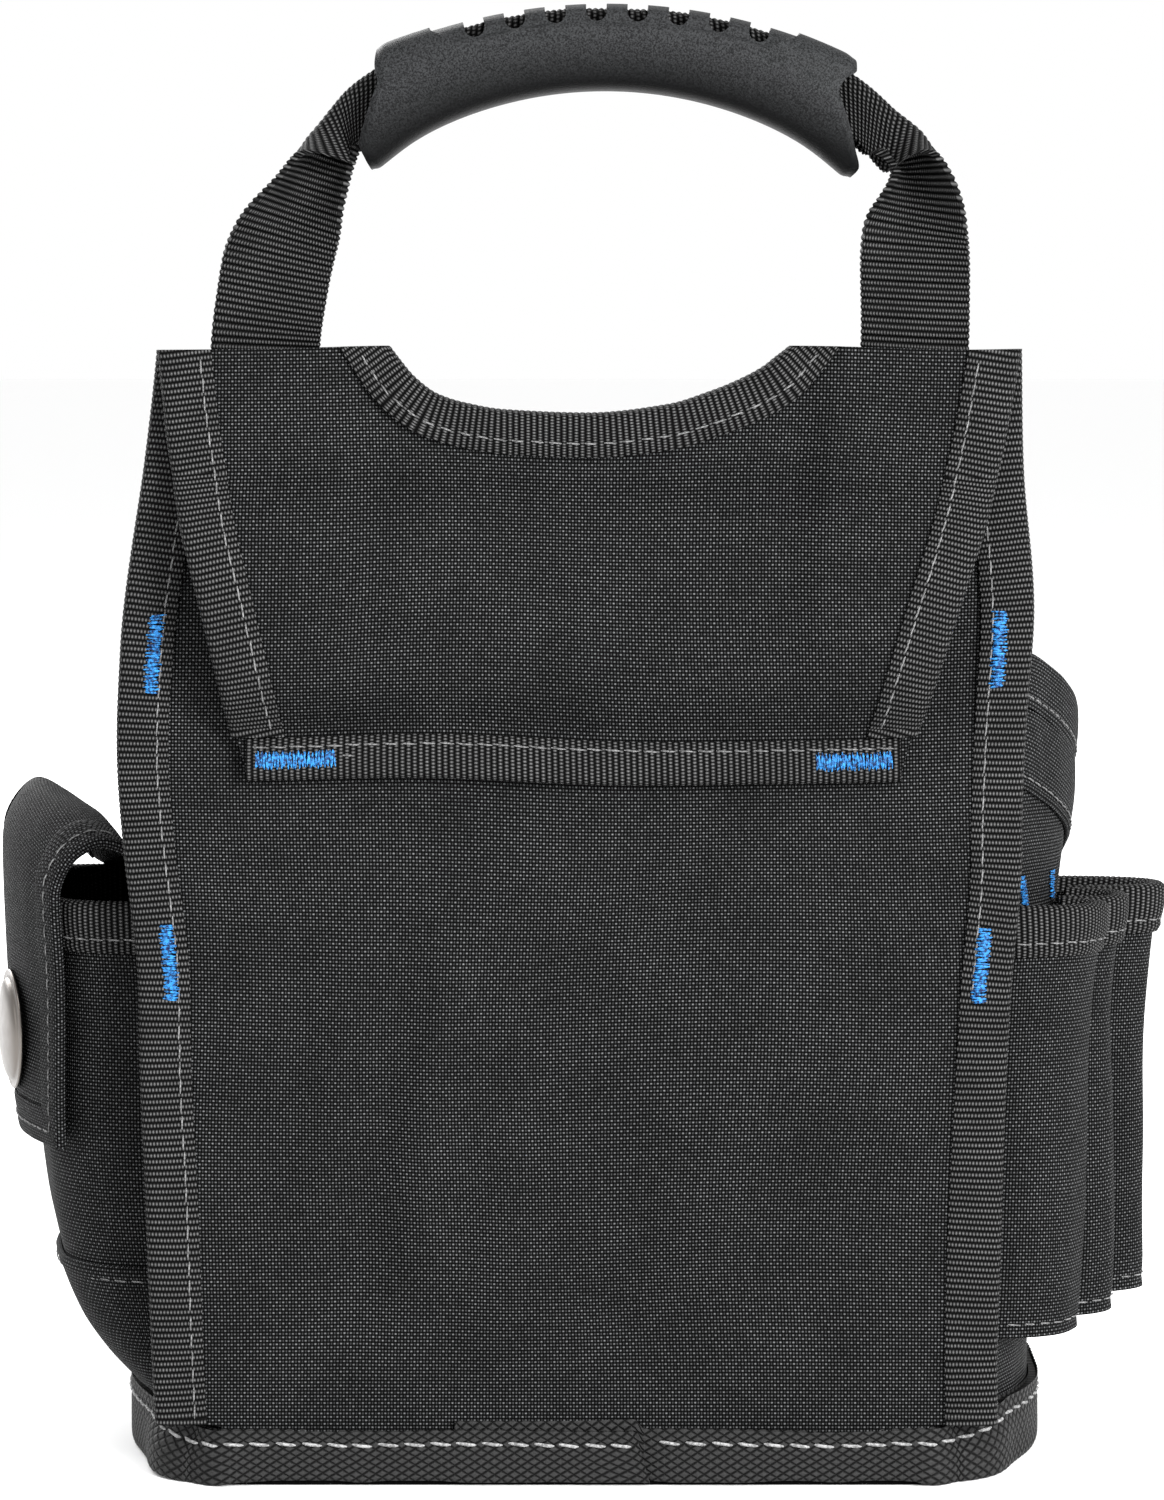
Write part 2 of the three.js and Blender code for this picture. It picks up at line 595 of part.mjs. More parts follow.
function loopLine(loop, z) {
  const middle = (loop.from + loop.to) / 2;
  const half = (loop.to - loop.from) / 2;
  const reach = lerp(loop.footReach, loop.rimReach, (z - loops.foot) / (loops.rim - loops.foot));
  return loopAngles.map((degrees) => {
    const angle = degToRad(degrees);
    const depth = middle + half * signedPower(Math.cos(angle), 2 / loops.roundness);
    const stand = loop.seat + reach * Math.max(0, Math.sin(angle)) ** (2 / loops.roundness);
    return { x: gussetX(1, depth, z) + stand, depth };
  });
}
const loopPoint = (loop, station, z, away) => fromPlan(offsetLine(loopLine(loop, z), away)[station], z);

function toolLoop(loop) {
  const face = (away) =>
    grid(loopHeights, indices(loopAngles.length), (z, station) => loopPoint(loop, station, z, away));
  return wallSolid(face(0), face(-thickness.pocket));
}

function toolLoopBinding(loop) {
  return foldedTape(indices(loopAngles.length - 2, 1), tapeWidth.loop, (station, inset, away, face) =>
    loopPoint(loop, station, loops.rim - inset, face === 'front' ? away : -thickness.pocket - away));
}

// The pocket on the left side, with its flap and snap

function pocketLine(z) {
  const middle = (pocket.from + pocket.to) / 2;
  const half = (pocket.to - pocket.from) / 2;
  const reach = readTable(pocketSections, 'z', 'reach', z);
  return pocketAngles.map((degrees) => {
    const angle = degToRad(degrees);
    const depth = middle + half * signedPower(Math.cos(angle), 2 / pocket.roundness);
    const stand = pocket.seat + reach * Math.max(0, Math.sin(angle)) ** (2 / pocket.roundness);
    return { x: gussetX(-1, depth, z) - stand, depth };
  });
}
const pocketPoint = (station, z, away) => fromPlan(offsetLine(pocketLine(z), away)[station], z);

function sidePocket() {
  const heights = pocketSections.map((row) => row.z);
  const face = (away) =>
    grid(heights, indices(pocketAngles.length), (z, station) => pocketPoint(station, z, away));
  return wallSolid(face(0), face(-thickness.pocket));
}

function sidePocketBinding() {
  return foldedTape(indices(pocketAngles.length - 2, 1), tapeWidth.pocket, (station, inset, away, face) =>
    pocketPoint(station, pocket.rim - inset, face === 'front' ? away : -thickness.pocket - away));
}

function sidePocketPatch() {
  const heights = pocketSections.map((row) => row.z).filter((z) => z <= pocket.patchTop);
  const face = (away) =>
    grid(heights, indices(pocketAngles.length - 2, 1), (z, station) => pocketPoint(station, z, away));
  return wallSolid(face(clearance + thickness.tape), face(clearance));
}

// The pocket flap's outer face: along runs from the belt side to the front, down from its seam to its foot.
function pocketFlapSurface(along, down) {
  const read = (column) => readTable(pocketFlapSections, 'down', column, down);
  const depth = lerp(pocketFlap.from, pocketFlap.to, along);
  const z = lerp(read('z'), read('farZ'), along);
  const swell = read('bulge') * (1 - (2 * Math.max(0, along) ** pocketFlap.skew - 1) ** 2);
  const stand = lerp(read('stand'), read('farStand'), along) + swell;
  return new THREE.Vector3(gussetX(-1, depth, z) - stand, backY + depth, z);
}

function pocketFlapNormal(along, down) {
  const step = 0.005;
  const alongRun = pocketFlapSurface(along + step, down).sub(pocketFlapSurface(along - step, down));
  const downRun = pocketFlapSurface(along, down + step).sub(pocketFlapSurface(along, down - step));
  return alongRun.cross(downRun).normalize();
}

const offPocketFlap = (along, down, away) =>
  pocketFlapSurface(along, down).addScaledVector(pocketFlapNormal(along, down), away);

function pocketFlapSheet() {
  const face = (away) =>
    grid(pocketFlapRows, pocketFlapColumns, (down, along) => offPocketFlap(along, down, away));
  return wallSolid(face(0), face(-thickness.flap));
}

// The tape runs down the flap's near edge, along its foot and up its far edge.
function pocketFlapBinding() {
  const width = pocketFlap.to - pocketFlap.from;
  const footStep = 0.02;
  const footRun = pocketFlapSurface(0.5, 1).distanceTo(pocketFlapSurface(0.5, 1 - footStep)) / footStep;
  const rows = pocketFlapRows.filter((down) => down >= pocketFlap.tapeStart);
  const sides = rows.slice(0, -1);
  const stations = [
    ...sides.map((down) => ({ along: 0, down, in: 1, up: 0 })),
    { along: 0, down: 1, in: 1, up: 1 },
    ...pocketFlapColumns.slice(1, -1).map((along) => ({ along, down: 1, in: 0, up: 1 })),
    { along: 1, down: 1, in: -1, up: 1 },
    ...sides.map((down) => ({ along: 1, down, in: -1, up: 0 })).reverse(),
  ];
  const place = (station, inset, away, face) => {
    const along = station.along + (station.in * inset) / width;
    const down = station.down - (station.up * inset) / footRun;
    return offPocketFlap(along, down, face === 'front' ? away : -thickness.flap - away);
  };
  return foldedTape(stations, tapeWidth.pocketFlap, place, curvedClearance);
}

function snapCap() {
  const { radius, rise } = snap;
  const profile = [[0, 0], [1, 0], [1, 0.2], [0.96, 0.4], [0.78, 0.68], [0.5, 0.88], [0.24, 0.98], [0, 1]];
  const points = profile.map(([out, up]) => new THREE.Vector2(out * radius, up * rise));
  return new THREE.LatheGeometry(points, snap.sides);
}

const snapStud = () =>
  new THREE.CylinderGeometry(snap.studRadius, snap.studRadius, snap.studHeight, snap.sides);

// Assembly

const cloth = { color: 0x232326, roughness: 0.8, metalness: 0 };
const tapeFinish = { color: 0x2c2c2f, roughness: 0.85, metalness: 0 };
const vinyl = { color: 0x28282b, roughness: 0.5, metalness: 0 };
const gripPlastic = { color: 0x1d1d20, roughness: 0.45, metalness: 0 };
const nickel = { color: 0x9a948d, roughness: 0.35, metalness: 1 };

const wasm = await Module();
wasm.setup();
const pouch = new THREE.Group();

function addPiece(name, geometry, finish) {
  const mesh = new THREE.Mesh(geometry, new THREE.MeshStandardMaterial(finish));
  mesh.name = name;
  pouch.add(mesh);
  return mesh;
}

// A round piece whose axis follows the pocket flap's normal, away from the flap's outer face.
function addOnPocketFlap(name, geometry, finish, away) {
  const mesh = addPiece(name, geometry, finish);
  mesh.position.copy(offPocketFlap(snap.along, snap.down, away));
  mesh.quaternion.setFromUnitVectors(new THREE.Vector3(0, 1, 0), pocketFlapNormal(snap.along, snap.down));
}

addPiece('base_panel', basePanel(), cloth);
addPiece('base_strip', baseStripRing(), vinyl);
addPiece('back_panel', backPanel(), cloth);
addPiece('body_wall', bodyWall(), cloth);
addPiece('mouth_binding', mouthBinding(), tapeFinish);
addPiece('mouth_band', mouthBand(), cloth);
addPiece('belt_flap', beltFlap(), cloth);
addPiece('belt_flap_binding_bottom', beltFlapBottomBinding(), tapeFinish);
addPiece('neck_binding', neckBinding(), tapeFinish);
for (const [name, side] of [['left', -1], ['right', 1]]) {
  addPiece(`back_binding_${name}`, backBinding(side), tapeFinish);
  addPiece(`belt_flap_binding_${name}`, beltFlapSideBinding(side), tapeFinish);
}
addPiece('handle_strap', handleStrap(), tapeFinish);
addPiece('handle_grip', handleGrip(wasm), gripPlastic);
for (const loop of toolLoops) {
  addPiece(`tool_loop_${loop.name}`, toolLoop(loop), cloth);
  addPiece(`tool_loop_binding_${loop.name}`, toolLoopBinding(loop), tapeFinish);
}
addPiece('side_pocket', sidePocket(), cloth);
addPiece('side_pocket_binding', sidePocketBinding(), tapeFinish);
addPiece('side_pocket_patch', sidePocketPatch(), cloth);
addPiece('pocket_flap', pocketFlapSheet(), cloth);
addPiece('pocket_flap_binding', pocketFlapBinding(), tapeFinish);
addOnPocketFlap('snap_cap', snapCap(), nickel, clearance);
addOnPocketFlap('snap_stud', snapStud(), nickel, -thickness.flap - snap.studDrop - snap.studHeight / 2);

export default pouch;
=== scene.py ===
import math

import bpy
import numpy as np
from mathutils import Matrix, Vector


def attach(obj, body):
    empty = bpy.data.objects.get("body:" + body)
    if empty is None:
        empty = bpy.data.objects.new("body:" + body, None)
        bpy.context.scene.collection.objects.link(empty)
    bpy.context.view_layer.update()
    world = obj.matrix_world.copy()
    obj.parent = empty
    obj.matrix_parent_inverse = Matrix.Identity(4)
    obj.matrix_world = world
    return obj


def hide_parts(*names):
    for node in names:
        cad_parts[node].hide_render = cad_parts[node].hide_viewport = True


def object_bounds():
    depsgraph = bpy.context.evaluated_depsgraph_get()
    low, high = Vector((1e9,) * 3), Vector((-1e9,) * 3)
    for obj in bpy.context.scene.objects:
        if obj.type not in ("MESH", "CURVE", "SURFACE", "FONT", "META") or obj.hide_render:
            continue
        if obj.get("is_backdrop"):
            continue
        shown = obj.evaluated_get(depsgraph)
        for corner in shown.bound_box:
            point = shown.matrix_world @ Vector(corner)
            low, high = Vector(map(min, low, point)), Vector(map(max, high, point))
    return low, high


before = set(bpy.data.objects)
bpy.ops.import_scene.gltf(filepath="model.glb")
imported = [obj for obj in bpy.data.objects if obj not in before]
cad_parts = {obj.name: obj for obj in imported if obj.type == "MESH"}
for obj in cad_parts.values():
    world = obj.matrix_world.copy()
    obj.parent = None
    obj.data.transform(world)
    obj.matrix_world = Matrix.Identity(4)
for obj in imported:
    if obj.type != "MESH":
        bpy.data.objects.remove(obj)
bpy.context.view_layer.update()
print("frame loaded with", len(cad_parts), "nodes")

# Shapes are worked out in millimetres: x to the right, z up, depth away from the belt side.
mm = 0.001
tiny = 1e-9
bodyDepth = 106
backY = -bodyDepth / 2
clearance = 0.3
thickness = {"back": 2, "body": 1.8, "flap": 1.6, "pocket": 1.6, "tape": 1.2, "strap": 1.8, "base": 3}
# the angle past which an edge is sharp, in degrees
sharpness = {"cloth": 48, "tape": 60, "thread": 80, "snap": 40, "slots": 32}
# how far above a cloth's face the thread of a seam runs
seamHeight = {"tape": 1.45, "band": 1.5, "double": 1.55, "tack": 1.6}


# small maths

def blendTo(start, end, share):
    return start + (end - start) * share


def smooth(low, high, at):
    t = np.clip((at - low) / (high - low), 0, 1)
    return t * t * (3 - 2 * t)


def bump(middle, half, at):
    return np.exp(-(((at - middle) / half) ** 2))


def pair(u, v):
    return np.stack(np.broadcast_arrays(u, v), -1)


def xyz(x, y, z):
    return np.stack(np.broadcast_arrays(x, y, z), -1).astype(float)


def unit(vectors):
    return vectors / np.maximum(np.linalg.norm(vectors, axis=-1, keepdims=True), tiny)


# a monotone cubic through one column of a table, straight past its ends
def readTable(table, key, column, at):
    place = np.array(table[key], float)
    value = np.array(table[column], float)
    span = np.diff(place)
    rise = np.diff(value) / span
    both = rise[:-1] * rise[1:]
    total = np.where(both > 0, rise[:-1] + rise[1:], 1)
    slope = np.concatenate([rise[:1], np.where(both > 0, 2 * both / total, 0), rise[-1:]])
    at = np.asarray(at, float)
    held = np.clip(at, place[0], place[-1])
    i = np.clip(np.searchsorted(place, held, side="right") - 1, 0, len(span) - 1)
    t = (held - place[i]) / span[i]
    start = value[i] * (2 * t**3 - 3 * t**2 + 1) + span[i] * slope[i] * (t**3 - 2 * t**2 + t)
    end = value[i + 1] * (3 * t**2 - 2 * t**3) + span[i] * slope[i + 1] * (t**3 - t**2)
    beyond = np.where(at < place[0], slope[0], slope[-1]) * (at - held)
    return start + end + beyond


# a rounded square arc: 2 is an ellipse, and more is squarer
def squareArc(angle, roundness):
    c = np.cos(angle)
    s = np.sin(angle)
    size = (np.abs(c) ** roundness + np.abs(s) ** roundness) ** (1 / roundness)
    return c / size, s / size


def runOf(line):
    steps = np.linalg.norm(np.diff(line, axis=0), axis=1)
    return np.concatenate([[0], np.cumsum(steps)])


# the points of a line at given runs along it
def pointsAt(at, run, line):
    return np.stack([np.interp(at, run, line[:, i]) for i in range(line.shape[1])], -1)


# a plane line with its corners eased by a moving mean
def eased(line, reach=7):
    mean = np.ones(2 * reach + 1) / (2 * reach + 1)
    padded = np.concatenate([np.repeat(line[:1], reach, 0), line, np.repeat(line[-1:], reach, 0)])
    return np.stack([np.convolve(padded[:, i], mean, "valid") for i in range(2)], -1)


# stations spaced evenly along an edge, from evenly spaced guesses
def evenStations(edge, start, end, step, guesses=600, fewest=8):
    guess = np.linspace(start, end, guesses)
    run = runOf(edge(guess))
    count = max(fewest, int(round(run[-1] / step)))
    return np.interp(np.linspace(0, run[-1], count + 1), run, guess)


# the unevenness of hand-sewn cloth: its size, the length of its waves and the seed of its draw
ripples = {"count": 7, "shortest": 0.7, "longest": 1.6, "share": 3.2}
uneven = {
    "panel": {"size": 0.45, "wave": 60, "seed": 3},
    "flap": {"size": 0.4, "wave": 55, "seed": 5},
    "drape": {"size": 0.6, "wave": 90, "seed": 7},
    "wall": {"size": 0.6, "wave": 65, "seed": 8},
    "tapeEdge": {"size": 0.5, "wave": 70, "seed": 11},
    "tapeCurl": {"size": 0.5, "wave": 55, "seed": 17},
    "stripFace": {"size": 0.2, "wave": 40, "seed": 21},
    "stripTop": {"size": 0.35, "wave": 50, "seed": 23},
    "stripFoot": {"size": 1, "wave": 45, "seed": 25},
    "loop": {"size": 0.35, "wave": 45, "seed": 31},
    "pocket": {"size": 0.8, "wave": 50, "seed": 41},
    "pocketFlap": {"size": 0.35, "wave": 45, "seed": 51},
}


# soft waves from all sides, about -1 to 1
def ripple(seed, across, up, wave):
    chance = np.random.default_rng(seed)
    least = (0, 0, ripples["shortest"])
    most = (math.pi, 2 * math.pi, ripples["longest"])
    total = 0
    for turn, phase, size in chance.uniform(least, most, (ripples["count"], 3)):
        run = across * math.cos(turn) + up * math.sin(turn)
        total = total + np.sin(run * 2 * math.pi / (wave * size) + phase)
    return total / ripples["share"]


def strayOf(name, across, up, other=0):
    look = uneven[name]
    return look["size"] * ripple(look["seed"] + other, across, up, look["wave"])


# the sewn pouch leans and waves a little as a whole, so that its layers stay together
lean = {"size": 0.9, "wave": 105, "slant": 0.6, "seeds": (71, 72, 73), "riseFrom": 12, "riseTo": 60,
        "calmFrom": 272, "calmTo": 300}


def settle(points):
    x, y, z = points.T
    hold = smooth(lean["riseFrom"], lean["riseTo"], z) * (1 - smooth(lean["calmFrom"], lean["calmTo"], z))
    along = x + lean["slant"] * y
    moved = [ripple(seed, along, z, lean["wave"]) for seed in lean["seeds"]]
    return points + lean["size"] * (hold * np.array(moved)).T


# meshes

def addMesh(name, points, quads, weave, finish, sharp):
    points = settle(points)
    corner = points[quads[:, 0]]
    first = np.cross(points[quads[:, 1]] - corner, points[quads[:, 2]] - corner)
    second = np.cross(points[quads[:, 2]] - corner, points[quads[:, 3]] - corner)
    if ((first + second) * corner).sum() < 0:
        quads = quads[:, ::-1]
    mesh = bpy.data.meshes.new(name)
    mesh.vertices.add(len(points))
    mesh.vertices.foreach_set("co", (points * mm).ravel())
    mesh.loops.add(quads.size)
    mesh.loops.foreach_set("vertex_index", quads.ravel().astype(np.int32))
    mesh.polygons.add(len(quads))
    mesh.polygons.foreach_set("loop_start", np.arange(0, quads.size, 4, dtype=np.int32))
    mesh.polygons.foreach_set("use_smooth", np.ones(len(quads), bool))
    mesh.update(calc_edges=True)
    layer = mesh.uv_layers.new(name="weave")
    layer.data.foreach_set("uv", weave[quads.ravel()].astype(np.float32).ravel())
    mesh.set_sharp_from_angle(angle=math.radians(sharp))
    mesh.materials.append(finish)
    piece = bpy.data.objects.new(name, mesh)
    bpy.context.scene.collection.objects.link(piece)
    return piece


def gridQuads(rows, columns, ring):
    index = np.arange(rows * columns).reshape(rows, columns)
    if ring:
        index = np.concatenate([index, index[:, :1]], 1)
    corners = [index[:-1, :-1], index[:-1, 1:], index[1:, 1:], index[1:, :-1]]
    return np.stack(corners, -1).reshape(-1, 4), index


# the closed wall between two grids of points that match row for row
def addWall(name, outer, inner, weave, finish, ring=False, sharp=sharpness["cloth"]):
    rows, columns = outer.shape[:2]
    quads, index = gridQuads(rows, columns, ring)
    other = index + rows * columns
    faces = [quads, quads[:, ::-1] + rows * columns]
    faces.append(np.stack([index[0, 1:], index[0, :-1], other[0, :-1], other[0, 1:]], -1))
    faces.append(np.stack([index[-1, :-1], index[-1, 1:], other[-1, 1:], other[-1, :-1]], -1))
    if not ring:
        faces.append(np.stack([index[:-1, 0], index[1:, 0], other[1:, 0], other[:-1, 0]], -1))
        faces.append(np.stack([index[1:, -1], index[:-1, -1], other[:-1, -1], other[1:, -1]], -1))
    points = np.concatenate([outer.reshape(-1, 3), inner.reshape(-1, 3)])
    flat = np.broadcast_to(weave, (rows, columns, 2)).reshape(-1, 2)
    return addMesh(name, points, np.concatenate(faces), np.concatenate([flat, flat]), finish, sharp)


def keep(piece, slot, *nodes):
    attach(piece, "root")
    if nodes:
        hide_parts(*nodes)
    return piece


# works out the cells of a cloth piece's outer face, and keeps nothing from them
def declareCloth(outer):
    cells = np.cross(outer[1:, :-1] - outer[:-1, :-1], outer[:-1, 1:] - outer[:-1, :-1])


# finishes

class Wire:
    def __init__(self, tree, socket):
        self.tree = tree
        self.socket = socket

    def math(self, operation, *others):
        return mathNode(self.tree, operation, self, *others)

    def clamped(self):
        return self.math("MAXIMUM", 0.0).math("MINIMUM", 1.0)

    def __add__(self, other):
        return self.math("ADD", other)

    def __radd__(self, other):
        return self.math("ADD", other)

    def __sub__(self, other):
        return self.math("SUBTRACT", other)

    def __rsub__(self, other):
        return mathNode(self.tree, "SUBTRACT", other, self)

    def __mul__(self, other):
        return self.math("MULTIPLY", other)

    def __rmul__(self, other):
        return self.math("MULTIPLY", other)

    def __truediv__(self, other):
        return self.math("DIVIDE", other)


def plug(tree, socket, value):
    if isinstance(value, Wire):
        tree.links.new(value.socket, socket)
    else:
        socket.default_value = value


def mathNode(tree, operation, *values):
    node = tree.nodes.new("ShaderNodeMath")
    node.operation = operation
    for socket, value in zip(node.inputs, values):
        plug(tree, socket, value)
    return Wire(tree, node.outputs[0])


class Finish:
    def __init__(self, name):
        self.material = bpy.data.materials.new(name)
        self.material.use_nodes = True
        self.tree = self.material.node_tree
        self.shader = self.tree.nodes["Principled BSDF"]

    # any node: its type, its settings, then the values or links of its sockets
    def node(self, kind, settings=None, sockets=None, out=0):
        node = self.tree.nodes.new(kind)
        for key, value in (settings or {}).items():
            setattr(node, key, value)
        for key, value in (sockets or {}).items():
            plug(self.tree, node.inputs[key], value)
        return Wire(self.tree, node.outputs[out])

    def set(self, **sockets):
        for key, value in sockets.items():
            plug(self.tree, self.shader.inputs[key.replace("_", " ")], value)

    def done(self, colour, rough, gloss, normal):
        self.set(Base_Color=colour, Roughness=rough, Specular_IOR_Level=gloss, Normal=normal)
        return self.material

    def weave(self):
        flat = self.node("ShaderNodeUVMap", {"uv_map": "weave"})
        u = self.node("ShaderNodeSeparateXYZ", None, {0: flat}, 0)
        v = self.node("ShaderNodeSeparateXYZ", None, {0: flat}, 1)
        return flat, u, v

    def inObject(self):
        return self.node("ShaderNodeTexCoord", None, None, 3)

    def noise(self, where, scale, detail):
        return self.node("ShaderNodeTexNoise", None, {"Vector": where, "Scale": scale, "Detail": detail})

    def mix(self, share, low, high):
        sockets = {0: share.clamped(), 6: low, 7: high}
        return self.node("ShaderNodeMix", {"data_type": "RGBA"}, sockets, 2)

    # a bump whose height is in millimetres
    def raised(self, height, relief, strength=1.0):
        sockets = {"Strength": strength, "Distance": relief * mm, "Height": height}
        return self.node("ShaderNodeBump", None, sockets)


def grey(level, warm=0.0):
    return (level * (1 + warm), level, level * (1 - warm), 1)


# plain weave: yarns cross over and under, and each one shows as a small bright crown, whose brightness is a
# painted highlight of sheen on near-black cloth
def clothFinish(name, look):
    finish = Finish(name)
    flat, u, v = finish.weave()
    a = u / look["warpPitch"]
    b = v / look["weftPitch"]
    over = (a.math("FLOOR") + b.math("FLOOR")).math("FLOORED_MODULO", 2.0)
    cell = finish.node("ShaderNodeCombineXYZ", None, {0: a.math("FLOOR"), 1: b.math("FLOOR")})
    luck = finish.node("ShaderNodeTexWhiteNoise", {"noise_dimensions": "2D"}, {"Vector": cell})
    x = a.math("FRACT") - 0.5
    y = b.math("FRACT") - 0.5
    across = x + (y - x) * over
    along = y + (x - y) * over
    crown = (1 - across * across * 4) * (1 - along * along * look["roundness"] * 4)
    fuzz = finish.noise(flat, look["fuzzScale"], 3.0)
    patch = finish.noise(flat, look["patchScale"], 2.0)
    peak = crown * crown
    light = look["plain"] + look["byFuzz"] * fuzz + look["byLuck"] * luck
    # painted highlight: the sheen on each yarn's crown, brighter on the over yarns and varied at random
    shine = peak * peak * crown * light * (look["patchLow"] + look["byPatch"] * patch)
    shine = shine * (look["under"] + (1 - look["under"]) * over)
    colour = finish.mix(shine, grey(look["gap"], look["warm"]), grey(look["yarnSheen"], look["warm"]))
    normal = finish.raised(crown + look["fuzzRelief"] * fuzz, look["relief"])
    return finish.done(colour, look["rough"], look["gloss"], normal)


# ribbed tape: ribs run across it, and each rib is a row of beads, each bead lit by a painted highlight of
# sheen on near-black tape
def tapeFinish(name, look):
    finish = Finish(name)
    flat, u, v = finish.weave()
    a = u / look["ribPitch"]
    odd = a.math("FLOOR").math("FLOORED_MODULO", 2.0)
    x = a.math("FRACT") - 0.5
    y = (v / look["beadPitch"] + 0.5 * odd).math("FRACT") - 0.5
    bead = (1 - x * x * look["ribRound"]) * (1 - y * y * look["beadRound"])
    fuzz = finish.noise(flat, look["fuzzScale"], 3.0)
    patch = finish.noise(flat, look["patchScale"], 2.0)
    peak = bead * bead
    light = look["plain"] + look["byFuzz"] * fuzz
    # painted highlight: the sheen on each bead, varied at random
    shine = peak * peak * light * (look["patchLow"] + look["byPatch"] * patch)
    colour = finish.mix(shine, grey(look["gap"]), grey(look["yarnSheen"]))
    normal = finish.raised(bead + look["fuzzRelief"] * fuzz, look["relief"])
    return finish.done(colour, look["rough"], look["gloss"], normal)


# coated strip with a raised diamond pattern, its grooves darkened with painted shade
def vinylFinish(name, look):
    finish = Finish(name)
    flat, u, v = finish.weave()
    rising = (u / look["long"] + v / look["high"]).math("FRACT") - 0.5
    falling = (u / look["long"] - v / look["high"]).math("FRACT") - 0.5
    diamond = (0.5 - rising.math("ABSOLUTE")).math("MINIMUM", 0.5 - falling.math("ABSOLUTE")) * 2
    stud = (diamond * look["steep"]).math("MINIMUM", 1.0)
    fuzz = finish.noise(flat, look["fuzzScale"], 3.0)
    # painted shade: the grooves between the raised diamonds are darker than their faces
    tint = stud * stud * (look["plain"] + look["byFuzz"] * fuzz)
    colour = finish.mix(tint, grey(look["shadedGroove"]), grey(look["face"]))
    normal = finish.raised(stud + look["fuzzRelief"] * fuzz, look["relief"])
    return finish.done(colour, look["rough"], look["gloss"], normal)


# moulded plastic with a fine leather grain, and painted shade that darkens its lower half towards the
# underside
def gripFinish(name, look):
    finish = Finish(name)
    v = finish.weave()[2]
    grain = finish.noise(finish.inObject(), look["grainScale"], 3.0)
    speck = ((grain - 0.5) * look["contrast"] + 0.5).clamped()
    # painted shade: the grip darkens from just above the middle of its section down to its underside
    low = ((v - look["shadeFrom"]) / look["fadeRun"]).clamped()
    tint = (look["plain"] + look["bySpeck"] * speck) * (1 - look["fade"] * low)
    colour = finish.mix(tint, grey(look["dark"], look["warm"]), grey(look["pale"], look["warm"]))
    rough = look["rough"] + look["byGrain"] * grain
    return finish.done(colour, rough, look["gloss"], finish.raised(grain, look["relief"]))


def nickelFinish(name, look):
    finish = Finish(name)
    wear = finish.noise(finish.inObject(), look["wearScale"], 4.0)
    finish.set(
        Base_Color=look["colour"],
        Metallic=1.0,
        Roughness=look["rough"] + look["byWear"] * wear,
        Normal=finish.raised(wear, look["relief"], look["strength"]),
    )
    return finish.material


# twisted thread: twist stripes and specks mix a dark colour with a light one; the light colour is partly
# the thread's own paler fibres and partly a painted highlight on its twist
def threadFinish(name, look, dark, light, gloss):
    finish = Finish(name)
    u, v = finish.weave()[1:]
    twist = (u * look["alongTurn"] + v * look["roundTurn"]).math("SINE") * 0.5 + 0.5
    speck = (finish.noise(finish.inObject(), look["speckScale"], 2.0) - 0.5) * look["contrast"] + 0.5
    shade = look["byTwist"] * twist + (1 - look["byTwist"]) * speck
    normal = finish.raised(twist, look["relief"], look["strength"])
    return finish.done(finish.mix(shade, dark, light), look["rough"], gloss, normal)


# the bright yarn colour is the peak of the painted sheen highlight on each crown
canvas = {"warpPitch": 0.76, "weftPitch": 0.84, "roundness": 0.55, "under": 0.3, "gap": 0.001,
          "yarnSheen": 0.125, "warm": -0.02, "gloss": 0.02, "rough": 0.6, "relief": 0.2, "fuzzScale": 2.6,
          "fuzzRelief": 0.25, "patchScale": 0.045, "plain": 0.2, "byFuzz": 0.75, "byLuck": 0.55,
          "patchLow": 0.55, "byPatch": 0.9}
ribbed = {"ribRound": 3.8, "beadRound": 2.8, "gap": 0.001, "rough": 0.6, "fuzzScale": 2.2,
          "fuzzRelief": 0.3, "patchScale": 0.08, "plain": 0.3, "byFuzz": 1.05, "patchLow": 0.6,
          "byPatch": 0.8}
edging = {**ribbed, "ribPitch": 1.41, "beadPitch": 0.82, "yarnSheen": 0.108, "gloss": 0.03, "relief": 0.3}
belting = {**ribbed, "ribPitch": 1.4, "beadPitch": 0.72, "yarnSheen": 0.082, "gloss": 0.04, "relief": 0.28}
bumper = {"long": 3.14, "high": 2.2, "steep": 2.2, "shadedGroove": 0.002, "face": 0.025, "rough": 0.5,
          "gloss": 0.07, "relief": 0.24, "fuzzScale": 1.6, "fuzzRelief": 0.2, "plain": 0.3, "byFuzz": 1.2}
# the grip's fade settings are its painted underside shade
moulded = {"grainScale": 2300, "contrast": 4, "shadeFrom": 0.4, "fadeRun": 0.5, "fade": 0.9, "plain": 0.25,
           "bySpeck": 0.8, "dark": 0.001, "pale": 0.024, "warm": -0.04, "rough": 0.42, "byGrain": 0.14,
           "gloss": 0.05, "relief": 0.16}
nickel = {"colour": (0.14, 0.127, 0.116, 1), "wearScale": 420, "rough": 0.26, "byWear": 0.16,
          "relief": 0.02, "strength": 0.6}
twine = {"alongTurn": 2.4, "roundTurn": 3.0, "speckScale": 1500, "contrast": 6, "byTwist": 0.35,
         "rough": 0.5, "relief": 0.08, "strength": 0.7}
clothLook = clothFinish("pouch cloth", canvas)
tapeLook = tapeFinish("edging tape", edging)
strapLook = tapeFinish("strap webbing", belting)
vinylLook = vinylFinish("base strip", bumper)
gripLook = gripFinish("grip plastic", moulded)
nickelLook = nickelFinish("snap nickel", nickel)
threadLook = threadFinish("light thread", twine, grey(0.07), grey(0.2), 0.05)
baseThreadLook = threadFinish("base thread", twine, grey(0.12), grey(0.3), 0.05)
